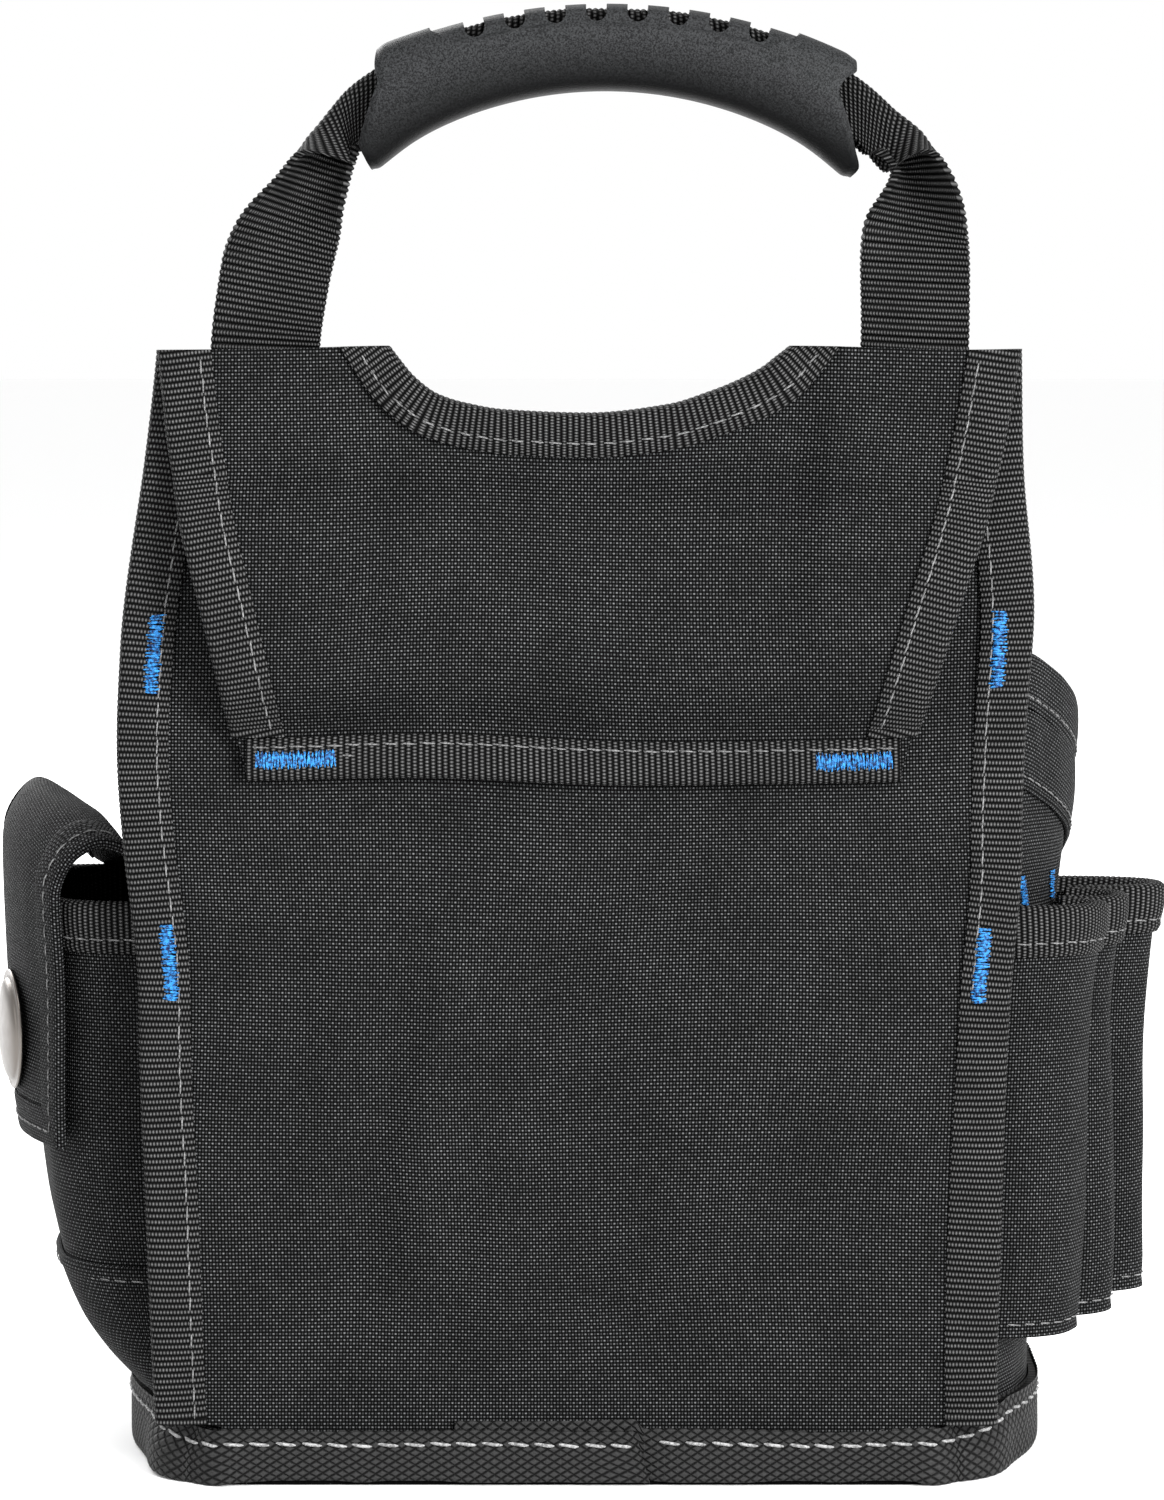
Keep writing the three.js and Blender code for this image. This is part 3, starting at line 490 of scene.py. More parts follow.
# the bartack's light blue end is partly its own blue and partly painted sparkle highlight on its twist
bartackLook = threadFinish("bartack thread", twine, (0.001, 0.008, 0.05, 1), (0.025, 0.22, 0.56, 1), 0.25)
print("finishes made")

# thread

sewing = {"pitch": 4.3, "length": 3.5, "thick": 0.21, "slant": 0.12, "sides": 6, "points": 6, "endGap": 0.3,
          "stray": 0.2, "sink": 0.5, "arch": 1.2, "sway": 0.08, "taperRun": 0.18, "taperSize": 0.45}
tacking = {"step": 0.4, "lean": 0.9, "slip": 0.6, "fray": 0.45, "rise": 0.05, "arch": 0.42,
           "loose": (-0.1, 0.15), "thick": (0.21, 0.3), "samples": 40}
threads = {}
bartacks = {}


def addThread(name, groups, finish):
    pathList = np.concatenate([g[0] for g in groups])
    outList = unit(np.concatenate([g[1] for g in groups]))
    sizes = np.concatenate([g[2] for g in groups])
    count, steps = pathList.shape[:2]
    sides = sewing["sides"]
    run = unit(np.gradient(pathList, axis=1))
    across = unit(np.cross(run, outList))
    up = np.cross(across, run)
    angle = np.arange(sides) * 2 * math.pi / sides
    ring = up[:, :, None] * np.cos(angle)[:, None] + across[:, :, None] * np.sin(angle)[:, None]
    taperAt = [0, sewing["taperRun"], 1 - sewing["taperRun"], 1]
    taper = np.interp(np.linspace(0, 1, steps), taperAt, [sewing["taperSize"], 1, 1, sewing["taperSize"]])
    points = pathList[:, :, None] + ring * (sizes[:, None] * taper)[:, :, None, None]
    quads, index = gridQuads(steps, sides, True)
    # two quads close each six-sided end
    ends = [index[0, [0, 1, 2, 3]], index[0, [0, 3, 4, 5]]]
    ends = ends + [index[-1, [3, 2, 1, 0]], index[-1, [5, 4, 3, 0]]]
    one = np.concatenate([quads, np.array(ends)])
    allQuads = (one[None] + (np.arange(count) * steps * sides)[:, None, None]).reshape(-1, 4)
    length = np.linalg.norm(np.diff(pathList, axis=1), axis=2).cumsum(1)
    length = np.concatenate([np.zeros((count, 1)), length], 1)
    flat = pair(length[:, :, None], angle).reshape(-1, 2)
    return addMesh(name, points.reshape(-1, 3), allQuads, flat, finish, sharpness["thread"])


# a row of stitches along a line that lies on the cloth
def stitchRow(group, line, outs, pitch=sewing["pitch"], thick=sewing["thick"], slant=sewing["slant"]):
    length = pitch * sewing["length"] / sewing["pitch"]
    run = runOf(line)
    count = int((run[-1] - 2 * sewing["endGap"]) / pitch)
    t = np.linspace(0, 1, sewing["points"])
    chance = np.random.default_rng(len(line) + count)
    start = sewing["endGap"] + (run[-1] - count * pitch) / 2 + np.arange(count) * pitch
    start = start + chance.uniform(-sewing["stray"], sewing["stray"], count)
    at = start[:, None] + t * length
    path = pointsAt(at, run, line)
    out = unit(pointsAt(at, run, outs))
    side = unit(np.cross(np.gradient(path, axis=1), out))
    lift = thick * (sewing["arch"] * np.sin(math.pi * t) ** 0.5 - sewing["sink"])
    sway = slant * (2 * t - 1) + chance.uniform(-sewing["sway"], sewing["sway"], (count, 1))
    path = path + out * lift[:, None] + side * sway[:, :, None]
    threads.setdefault(group, []).append((path, out, np.full(count, thick)))


# a row of stitches on a placed surface, at one inset from its edge
def stitchOn(group, place, stations, inset, away):
    line = place(stations, inset, away, "front")
    outs = unit(place(stations, inset, away + 1, "front") - line)
    stitchRow(group, line, outs)


# a dense zigzag of thick thread that locks a seam
def bartackOn(group, place, start, end, insets, away):
    run = runOf(place(np.linspace(start, end, tacking["samples"]), np.mean(insets), away, "front"))
    count = int(run[-1] / tacking["step"])
    chance = np.random.default_rng(count + int(abs(start)))
    stride = (end - start) / count
    t = np.linspace(0, 1, sewing["points"])
    zigzag = tacking["lean"] * np.where(np.arange(count) % 2, 1, -1)[:, None]
    station = np.linspace(start, end, count)[:, None] + stride * zigzag * (t - 0.5)
    station = station + stride * chance.uniform(-tacking["slip"], tacking["slip"], (count, 1))
    low = insets[0] + chance.uniform(-tacking["fray"], tacking["fray"], (count, 1))
    high = insets[1] + chance.uniform(-tacking["fray"], tacking["fray"], (count, 1))
    inset = blendTo(low, high, t)
    base = place(station, inset, away, "front")
    out = unit(place(station, inset, away + 1, "front") - base)
    lift = tacking["rise"] + tacking["arch"] * np.sin(math.pi * t) ** 0.6
    lift = lift + chance.uniform(*tacking["loose"], (count, 1))
    path = base + out * lift[:, :, None]
    bartacks.setdefault(group, []).append((path, out, chance.uniform(*tacking["thick"], count)))


# folded tape

binding = {"gap": clearance, "tape": thickness["tape"], "puff": 0.25, "rib": 0.13, "ribFall": 1.5,
           "step": 0.35, "stitchAt": 0.74, "hemThin": 0.55, "hemRun": 0.9, "pull": 0.9, "pullHalf": 0.7,
           "faceRows": 8, "rearRows": 4, "turnRows": 7, "edge": 0.02}
hem = {"thin": 0.5, "run": 0.8}


# a tape folded over an edge; place(station, inset, away, face) gives a point on it
def foldedTape(name, node, place, start, end, width, finish=tapeLook, **more):
    look = {**binding, **more}
    gap = look["gap"]
    stations = evenStations(lambda s: place(s, 0.0, gap, "front"), start, end, look["step"])
    edge = place(stations, 0.0, gap, "front")
    faceRows = np.linspace(1, look["edge"], look["faceRows"])
    rearRows = np.linspace(look["edge"], 1, look["rearRows"])
    turns = np.linspace(0, math.pi, look["turnRows"])[1:-1]
    inset = np.concatenate([faceRows, turns * 0, rearRows])[:, None] * width
    nose = np.concatenate([faceRows * 0, np.sin(turns), rearRows * 0])[:, None]
    through = np.concatenate([faceRows * 0, (1 - np.cos(turns)) / 2, rearRows * 0 + 1])[:, None, None]
    thin = 1 - look["hemThin"] * smooth(width - look["hemRun"], width, inset)
    pull = look["pull"] * look["puff"] * bump(look["stitchAt"] * width, look["pullHalf"], inset)
    swell = look["puff"] * np.sin(math.pi * np.clip(inset / width / look["stitchAt"], 0, 1))
    # ribs stay square to the tape's run where its end is cut at a slant
    lay = place(stations[None, :], inset, gap, "front")
    slip = ((lay - edge) * unit(np.gradient(edge, axis=0))).sum(-1)
    along = runOf(edge)[None, :] + slip
    ribs = look["rib"] * (1 - (2 * np.mod(along / edging["ribPitch"], 1) - 1) ** 2 * look["ribFall"])

    def layer(depth, relief):
        thick = gap + depth * look["tape"] * thin + relief * (swell - pull) + relief * ribs
        reach = inset - nose * thick
        face = place(stations[None, :], reach, thick, "front")
        return blendTo(face, place(stations[None, :], reach, thick, "back"), through)

    outer = layer(1.0, 1.0)
    weave = pair(along, runOf(outer[:, 0])[:, None])
    keep(addWall(name, outer, layer(0.0, 0.0), weave, finish, sharp=sharpness["tape"]), "tape", node)
    return stations


def addCloth(name, node, outer, inner, weave):
    return keep(addWall(name, outer, inner, weave, clothLook), "cloth", node)


# how far a point stands off a cloth's outer face, in front of it or behind the cloth
def offFace(away, face, thick):
    return away if face == "front" else -thick - away


# a band that thins towards its hem
def bandThickness(at, edge):
    return clearance + thickness["tape"] * (1 - hem["thin"] * smooth(edge - hem["run"], edge, at))


# shared forms of the pouch

backSections = {
    "z": [3.3, 14.2, 16, 33, 69, 116, 151, 200, 243, 270],
    "half": [84.2, 84.2, 98.9, 99.3, 99.8, 101.5, 104.8, 105.8, 101.5, 99.9],
    "seam": [86.5, 86.8, 86.8, 87.3, 88, 89.7, 93, 94, 94, 94],
    "sway": [-2.4, -2.4, -2.4, -2.6, -2.6, -2.9, -2.7, -1, 0.1, 0.6],
}
bodySections = {
    "z": [3.3, 25, 100, 160, 200],
    "right": [110.5, 110, 114, 119, 121],
    "left": [110.5, 108.5, 111, 112, 112],
}
sideCurve = {
    "depth": [0, 0.05, 0.11, 0.19, 0.28, 0.43, 0.55, 1],
    "reach": [0, 0.3, 0.5, 0.66, 0.81, 0.96, 1, 1],
}
front = {"cornerStart": 85, "cornerReach": 22, "bulge": 4, "seamRun": 4, "cornerShare": 0.25,
         "seamDepth": 2.3, "slopeStep": 0.004}
mouth = {"backHeight": 199.5, "fall": 0.335, "tape": 11.5, "tapeRib": 0.05, "tapeStep": 0.9,
         "stitchAt": 0.8, "endShare": 0.06, "stitch": 9.2, "bandFrom": 12.1, "bandTo": 30, "bandRows": 26,
         "bandStitch": 27.4, "puff": 0.35, "puffRun": 14, "pull": 0.25, "pullHalf": 0.8}
panel = {"foot": 3.3, "top": 270, "tapeFoot": 14.6, "tape": 11, "tapeLevel": 16.3, "stitch": 8.3,
         "fadeRun": 22, "fadeFrom": 12, "fadeTo": 40}
drape = {"depth": 4.2, "foot": 20, "top": 150, "half": 82, "ridge": -42, "halfPitch": 44, "calm": 0.55,
         "wave": 23, "waveDepth": 1.1, "waveAt": -42, "waveHalf": 30, "waveSlant": 0.1}
scoop = {"half": 48, "tape": 9, "gap": 0.4, "endTape": 10, "endShare": 0.1, "stitch": 5.6, "tapeStep": 0.22,
         "slopeStep": 0.02, "columns": 71, "shoulderColumns": 29}
scoopSections = {
    "column": [-1, -0.86, -0.735, -0.6, -0.4, 0, 0.4, 0.6, 0.735, 0.86, 1],
    "drop": [0, 8.4, 12.6, 14.5, 15.8, 16.1, 14.4, 11.7, 9.2, 6, 0],
}


def swayAt(z):
    return readTable(backSections, "z", "sway", z)


def panelHalf(z):
    return readTable(backSections, "z", "half", z)


def mouthHeight(depth):
    return mouth["backHeight"] - mouth["fall"] * depth


def gussetX(side, depth, z):
    seamX = swayAt(z) + side * readTable(backSections, "z", "seam", z)
    right = readTable(bodySections, "z", "right", z)
    left = readTable(bodySections, "z", "left", z)
    widestX = np.where(side > 0, right, -left)
    along = np.maximum(0, (depth - front["seamRun"]) / (bodyDepth - front["seamRun"]))
    turn = np.clip((depth - front["cornerStart"]) / (bodyDepth - front["cornerStart"]), 0, 1)
    corner = front["cornerReach"] * (1 - np.sqrt(1 - turn**2))
    return blendTo(seamX, widestX, readTable(sideCurve, "depth", "reach", along)) - side * corner


# the wall in plan: station -2 is the left back seam, -1 to 1 the front, 2 the right back seam
def wallDepth(station):
    away = np.clip(np.abs(station) - 1, 0, 1)
    share = front["cornerShare"]
    angle = np.clip(1 - away / share, 0, 1) * math.pi / 2
    corner = front["cornerStart"] + (bodyDepth - front["cornerStart"]) * np.sin(angle)
    straight = front["cornerStart"] * (1 - (away - share) / (1 - share))
    ahead = bodyDepth + front["bulge"] * np.cos(np.clip(station, -1, 1) * math.pi / 2) ** 2
    return np.where(away > 0, np.where(away < share, corner, straight), ahead)


def wallPlan(station, z):
    depth = wallDepth(station)
    side = np.where(station < 0, -1.0, 1.0)
    onSide = gussetX(side, np.minimum(depth, bodyDepth), z)
    left = gussetX(-1.0, bodyDepth, z)
    right = gussetX(1.0, bodyDepth, z)
    across = blendTo(left, right, (np.clip(station, -1, 1) + 1) / 2)
    return np.where(np.abs(station) > 1, onSide, across), depth


# a plan line moved sideways: the line runs so that its left-hand side is the outside
def planPoint(line, station, z, away, step):
    station, z = np.broadcast_arrays(np.asarray(station, float), np.asarray(z, float))
    x, depth = line(station, z)
    beforeX, beforeDepth = line(station - step, z)
    afterX, afterDepth = line(station + step, z)
    runX = afterX - beforeX
    runDepth = afterDepth - beforeDepth
    size = np.maximum(np.hypot(runX, runDepth), tiny)
    return xyz(x - runDepth / size * away, backY + depth + runX / size * away, z)


def wallPoint(station, z, away):
    return planPoint(wallPlan, station, z, away, front["slopeStep"])


def panelDrape(x, z):
    up = np.sin(math.pi * np.clip((z - drape["foot"]) / (drape["top"] - drape["foot"]), 0, 1))
    across = np.maximum(0, 1 - (x / drape["half"]) ** 2) ** 2
    fold = np.cos((x - drape["ridge"]) * math.pi / drape["halfPitch"])
    wave = np.cos((x - drape["waveSlant"] * z) * 2 * math.pi / drape["wave"] + strayOf("drape", x, z))
    fine = drape["waveDepth"] * wave * bump(drape["waveAt"], drape["waveHalf"], x) * up
    return drape["depth"] * up * across * (drape["calm"] + (1 - drape["calm"]) * fold) + fine


# columns -1 to 1 span the neck scoop, and 2 is the side edge
def columnX(column, z, half):
    reach = np.abs(column)
    shoulder = np.maximum(0, reach - 1) * (half - scoop["half"])
    return swayAt(z) + np.sign(column) * (np.minimum(reach, 1) * scoop["half"] + shoulder)


def scoopDrop(column):
    return readTable(scoopSections, "column", "drop", column)


def topEdge(column):
    return panel["top"] - np.where(np.abs(column) < 1, scoopDrop(column), 0)


def columnHeight(column, z, foot):
    return blendTo(foot, topEdge(column), (z - foot) / (panel["top"] - foot))


scoopColumns = np.linspace(-1, 1, scoop["columns"])
shoulderColumns = np.linspace(1, 2, scoop["shoulderColumns"])[1:]
panelColumns = np.concatenate([-shoulderColumns[::-1], scoopColumns, shoulderColumns])

# back panel

# rows from one height to another, close together where the panel steps out over the strip
panelRows = {"from": [3.3, 15, 19], "to": [14, 17, 270], "count": [6, 5, 96]}
heights = np.concatenate([np.linspace(*part) for part in zip(*panelRows.values())])[:, None]
z = columnHeight(panelColumns, heights, panel["foot"])
x = columnX(panelColumns, z, panelHalf(z))
fade = smooth(0, panel["fadeRun"], panelHalf(z) - np.abs(x - swayAt(z)))
fade = fade * smooth(panel["fadeFrom"], panel["fadeTo"], z)
backOuter = xyz(x, backY - panelDrape(x, z) - fade * strayOf("panel", x, z), z)
backInner = backOuter + [0, thickness["back"], 0]
backPanel = addCloth("backPanelCloth", "back_panel", backOuter, backInner, pair(x, z))


def backEdge(side):
    def place(z, inset, away, face):
        half = panelHalf(np.maximum(z, panel["tapeLevel"])) + strayOf("tapeEdge", z, 0, side)
        y = backY + strayOf("tapeCurl", z, 0, side) - offFace(away, face, thickness["back"])
        return xyz(swayAt(z) + side * (half - inset), y, z)
    return place


sideTack = {"upper": (189.6, 207.2), "lower": (115.6, 133.2), "insets": (4.8, 8.2)}
for name, side in (("left", -1), ("right", 1)):
    place = backEdge(side)
    names = (f"backBinding{name.title()}", f"back_binding_{name}")
    stations = foldedTape(*names, place, panel["tapeFoot"], panel["top"], panel["tape"])
    # below its lower bar tack the right tape rolls over its seam
    sewn = stations if side < 0 else stations[stations > sideTack["lower"][0]]
    stitchOn("back", place, sewn, panel["stitch"], seamHeight["tape"])
    for part in ("upper", "lower"):
        bartackOn("back", place, *sideTack[part], sideTack["insets"], seamHeight["band"])
declareCloth(backOuter)
print("back panel and its tapes made")

# belt flap

flapSections = {
    "z": [170, 178, 197, 210, 233, 248, 270],
    "half": [76.4, 78.6, 83.5, 87, 93, 96, 99],
}
belt = {"foot": 170, "bulge": 10, "bulgeFoot": 181, "bulgeTop": 241, "footGap": 1.9, "neckGap": 0.4,
        "strapGap": 4.2, "strapColumn": 1.24, "rows": 60, "fadeRun": 18, "footFade": 14, "footTape": 8.7,
        "footStitchAt": 0.72, "footStitch": 6.6, "lockFrom": -1.3, "lockTo": -1.05, "lockInset": 4.2,
        "lockSamples": 40}
flapTacks = {
    "left": {"from": -1.92, "to": -1.28, "insets": (1.6, 5.4)},
    "right": {"from": 1.28, "to": 1.92, "insets": (1.8, 5.6)},
}


def flapHalf(z):
    return readTable(flapSections, "z", "half", z)


def flapGap(x, z):
    column = 1 + np.maximum(0, np.abs(x - swayAt(z)) - scoop["half"]) / (flapHalf(z) - scoop["half"])
    share = smooth(0, 1, (column - 1) / (belt["strapColumn"] - 1))
    topGap = blendTo(belt["neckGap"], belt["strapGap"], share)
    up = np.clip((z - belt["bulgeFoot"]) / (belt["bulgeTop"] - belt["bulgeFoot"]), 0, 1)
    return blendTo(belt["footGap"], topGap, up) + belt["bulge"] * (1 - np.abs(2 * up - 1) ** 3)


def flapFront(x, z):
    return backY - flapGap(x, z) - thickness["flap"]


def flapPoint(x, z, away, face):
    return xyz(x, flapFront(x, z) - offFace(away, face, thickness["flap"]), z)


heights = np.linspace(belt["foot"], panel["top"], belt["rows"])[:, None]
z = columnHeight(panelColumns, heights, belt["foot"])
x = columnX(panelColumns, z, flapHalf(z))
fade = smooth(0, belt["fadeRun"], flapHalf(z) - np.abs(x - swayAt(z)))
fade = fade * smooth(0, belt["footFade"], z - belt["foot"])
beltOuter = flapPoint(x, z, fade * strayOf("flap", x, z), "front")
beltInner = beltOuter + [0, thickness["flap"], 0]
beltFlap = addCloth("beltFlapCloth", "belt_flap", beltOuter, beltInner, pair(x, z))


def flapEdge(side):
    def place(z, inset, away, face):
        return flapPoint(swayAt(z) + side * (flapHalf(z) - inset), z, away, face)
    return place


def flapFoot(column, inset, away, face):
    foot = belt["foot"]
    return flapPoint(columnX(column, foot, flapHalf(foot)), foot + inset, away, face)


# the neck tape binds the flap and the panel together, square to the scoop's edge
def neckEdge(column, inset, away, face):
    step = scoop["slopeStep"]
    fall = (scoopDrop(column + step) - scoopDrop(column - step)) / (2 * step * scoop["half"])
    size = np.hypot(fall, 1)
    end = smooth(1 - scoop["endShare"], 1, np.abs(column))
    intoX = blendTo(-fall / size, np.sign(column) * scoop["endTape"] / scoop["tape"], end)
    intoZ = blendTo(-1 / size, 0, end)
    edgeZ = topEdge(column)
    x = swayAt(edgeZ) + column * scoop["half"] + intoX * inset
    z = edgeZ + intoZ * inset
    y = flapFront(x, z) - away if face == "front" else backY + thickness["back"] + away
    return xyz(x, y, z)


for name, side in (("left", -1), ("right", 1)):
    place = flapEdge(side)
    low = belt["foot"] + belt["footTape"] + clearance
    names = (f"beltFlapBinding{name.title()}", f"belt_flap_binding_{name}")
    stations = foldedTape(*names, place, low, panel["top"], panel["tape"])
    stitchOn("flap", place, stations, panel["stitch"], seamHeight["tape"])
stations = foldedTape("beltFlapBindingBottom", "belt_flap_binding_bottom", flapFoot, -2, 2,
                      belt["footTape"], stitchAt=belt["footStitchAt"])
stitchOn("flap", flapFoot, stations, belt["footStitch"], seamHeight["tape"])
lockStitches = np.linspace(belt["lockFrom"], belt["lockTo"], belt["lockSamples"])
stitchOn("flap", flapFoot, lockStitches, belt["lockInset"], seamHeight["double"])
for tack in flapTacks.values():
    bartackOn("flap", flapFoot, tack["from"], tack["to"], tack["insets"], seamHeight["tack"])
stations = foldedTape("neckBinding", "neck_binding", neckEdge, -1, 1, scoop["tape"], gap=scoop["gap"],
                      step=scoop["tapeStep"])
stitchOn("flap", neckEdge, stations, scoop["stitch"], seamHeight["double"])
declareCloth(beltOuter)
print("belt flap and neck tape made")

# wall and base

wall = {"stations": 221, "rows": 48, "seamCalm": 0.12, "level": 100.0}
seamShare = 1 - front["seamDepth"] / front["cornerStart"]
seamStation = 1 + front["cornerShare"] + (1 - front["cornerShare"]) * seamShare
stations = np.linspace(-seamStation, seamStation, wall["stations"])
up = np.linspace(0, 1, wall["rows"])[:, None]
z = blendTo(panel["foot"], mouthHeight(wallDepth(stations)), up)
run = runOf(wallPoint(stations, wall["level"], 0.0))
calm = np.sin(math.pi * up) * smooth(0, wall["seamCalm"], seamStation - np.abs(stations))
stray = calm * strayOf("wall", run, z)
wallOuter = wallPoint(stations, z, stray)
wallInner = wallPoint(stations, z, stray - thickness["body"])
bodyWall = addCloth("bodyWallCloth", "body_wall", wallOuter, wallInner, pair(run, z))


def mouthEdge(station, inset, away, face):
    z = mouthHeight(wallDepth(station)) - inset
    return wallPoint(station, z, offFace(away, face, thickness["body"]))


mouthEnd = seamStation - mouth["endShare"]
stations = foldedTape("mouthBinding", "mouth_binding", mouthEdge, -mouthEnd, mouthEnd, mouth["tape"],
                      clothLook, rib=mouth["tapeRib"], step=mouth["tapeStep"], stitchAt=mouth["stitchAt"])
stitchOn("mouth", mouthEdge, stations, mouth["stitch"], seamHeight["band"])
drops = np.linspace(mouth["bandFrom"], mouth["bandTo"], mouth["bandRows"])[:, None]
puff = mouth["puff"] * np.sin(math.pi * np.clip((drops - mouth["bandFrom"]) / mouth["puffRun"], 0, 1))
puff = puff - mouth["pull"] * bump(mouth["bandStitch"], mouth["pullHalf"], drops)
bandOuter = mouthEdge(stations[None, ::2], drops, bandThickness(drops, mouth["bandTo"]) + puff, "front")
bandInner = mouthEdge(stations[None, ::2], drops, clearance, "front")
addCloth("mouthBandCloth", "mouth_band", bandOuter, bandInner, pair(runOf(bandOuter[0]), drops))
stitchOn("mouth", mouthEdge, stations, mouth["bandStitch"], seamHeight["tape"])
declareCloth(wallOuter)
print("wall and mouth made")

basePanel = {"rows": 40, "columns": 61}
rows = np.sin(np.linspace(0, 1, basePanel["rows"]) * math.pi / 2)[:, None]
across = np.linspace(0, 1, basePanel["columns"])[None, :]
depth = rows * (bodyDepth + front["bulge"] * np.sin(across * math.pi) ** 2)
left = gussetX(-1.0, rows * bodyDepth, panel["foot"])
right = gussetX(1.0, rows * bodyDepth, panel["foot"])
x = blendTo(left, right, across)
baseTop = xyz(x, backY + depth, thickness["base"])
base = addCloth("basePanelCloth", "base_panel", baseTop, xyz(x, backY + depth, 0), pair(x, depth))

strip = {
    "backHalf": 86.5, "backHeight": 13.5, "sideHeight": 17, "frontHeight": 15, "climbFrom": 6,
    "climbTo": 20, "thick": 1.25, "out": 2.35, "under": 1.25, "over": 2.55, "seat": 1,
    "joinFrom": -32, "joinTo": 13, "peek": 2.4, "peekRun": 1, "cut": 3.5, "cutRun": 12,
    "stations": 1150, "rows": 20, "wallSamples": 420, "firstSamples": 60, "lastSamples": 80,
    "leftLump": 4, "rightLump": 2.8, "lumpIn": 14, "lumpHalf": 13, "lumpFull": 0.4,
    "arch": 0.8, "archFrom": 80, "archTo": 86, "backFrom": 0.5, "backTo": 3, "lift": 0.05,
    "scuff": 0.5, "scuffRun": 20, "turnRows": 6, "faceTop": 0.94, "faceFoot": 0.13, "topTurn": 0.05,
    "footTurn": 0.12, "topTuck": 0.45, "footTuck": 0.95, "dent": 0.3, "dentHalf": 0.8, "stud": 0.22,
    "studLevel": 0.6,
    "stitchDrop": 3.6, "stitchPitch": 6.2, "stitchThick": 0.42, "stitchSlant": 0.3, "stitchEnd": 2,
}
# where the strip eases over its own end, from the join and to it
overlap = {"offFrom": -4, "offTo": 8, "underFrom": -10, "underTo": 2, "seatFrom": 8, "seatTo": 30,
           "unseatFrom": -34, "unseatTo": -12}

# the strip's path: from the join on the back, round the left, the front and the right, back under its start
wallStations = np.linspace(-seamStation, seamStation, strip["wallSamples"])
wallX, wallD = wallPlan(wallStations, np.full(strip["wallSamples"], panel["foot"]))
leftEnd = swayAt(0) - strip["backHalf"]
rightEnd = swayAt(0) + strip["backHalf"]
firstX = np.linspace(strip["joinTo"], leftEnd, strip["firstSamples"])
lastX = np.linspace(rightEnd, strip["joinFrom"], strip["lastSamples"])
line = pair(np.concatenate([firstX, wallX, lastX]), np.concatenate([firstX * 0, wallD, lastX * 0]))
run = runOf(line)
even = np.linspace(0, run[-1], strip["stations"])
line = eased(pointsAt(even, run, line))
tangent = unit(np.gradient(line, axis=0))
normal = tangent[:, ::-1] * [-1, 1]
joinStart = strip["joinTo"] - strip["joinFrom"]
joinEnd = even[-1] - joinStart

# how far it stands off the wall, with a lump at each back corner
clear = 1 - smooth(joinStart + overlap["offFrom"], joinStart + overlap["offTo"], even)
outer = strip["out"] + (strip["over"] - strip["out"]) * clear
hidden = smooth(joinEnd + overlap["underFrom"], joinEnd + overlap["underTo"], even)
outer = outer + (strip["under"] - outer) * hidden + strayOf("stripFace", even, 0)
leftCorner = strip["joinTo"] - leftEnd + strip["lumpIn"]
rightCorner = even[-1] - (rightEnd - strip["joinFrom"]) - strip["lumpIn"]
lump = strip["leftLump"] * bump(leftCorner, strip["lumpHalf"], even)
lump = lump + strip["rightLump"] * bump(rightCorner, strip["lumpHalf"], even)

# its top and foot: the middle of the back arches off the floor, and the corners stand on it
climb = np.clip((line[:, 1] - strip["climbFrom"]) / (strip["climbTo"] - strip["climbFrom"]), 0, 1)
fall = np.clip((line[:, 1] - front["cornerStart"]) / (bodyDepth - front["cornerStart"]), 0, 1)
top = blendTo(blendTo(strip["backHeight"], strip["sideHeight"], climb), strip["frontHeight"], fall)
top = top + strayOf("stripTop", even, 0)
top = top + strip["peek"] * smooth(joinEnd - strip["peekRun"], joinEnd + strip["peekRun"], even)
scuff = smooth(0, 1, np.abs(strayOf("stripFoot", even, 0))) * smooth(0, strip["scuffRun"], even)
onBack = 1 - smooth(strip["backFrom"], strip["backTo"], line[:, 1])
inside = 1 - smooth(strip["archFrom"], strip["archTo"], np.abs(line[:, 0] - swayAt(0)))
low = strip["lift"] + strip["scuff"] * scuff + strip["arch"] * onBack * inside

# its section, from a rolled top edge down a studded face to a rolled foot
turn = np.linspace(0, math.pi / 2, strip["turnRows"])
face = np.linspace(strip["faceTop"], strip["faceFoot"], strip["rows"])
topLevels = 1 - strip["topTurn"] * (1 - np.sin(turn))
footLevels = strip["footTurn"] * (1 - np.sin(turn))
levels = np.concatenate([topLevels, face, footLevels])[:, None]
topTuck = -strip["topTuck"] * (1 - np.sin(turn))
footTuck = -strip["footTuck"] * (1 - np.cos(turn))
tuck = np.concatenate([topTuck, face * 0, footTuck])[:, None]
dent = -strip["dent"] * bump(strip["stitchDrop"], strip["dentHalf"], (1 - levels) * strip["backHeight"])
upTurn = levels * strip["backHeight"] / bumper["high"]
rising = np.abs(np.mod(even / bumper["long"] + upTurn, 1) - 0.5)
falling = np.abs(np.mod(even / bumper["long"] - upTurn, 1) - 0.5)
diamond = 1 - 2 * np.maximum(rising, falling)
studs = strip["stud"] * (np.minimum(1, diamond * bumper["steep"]) - strip["studLevel"])
flare = lump * smooth(1, strip["lumpFull"], levels)
out = outer + flare + tuck + dent + studs
slide = strip["cut"] * (levels - 1) * (1 - smooth(0, strip["cutRun"], even))


def stripGrid(away):
    x = line[:, 0] + normal[:, 0] * away + tangent[:, 0] * slide
    d = line[:, 1] + normal[:, 1] * away + tangent[:, 1] * slide
    return xyz(x, backY + d, blendTo(low, top, levels))


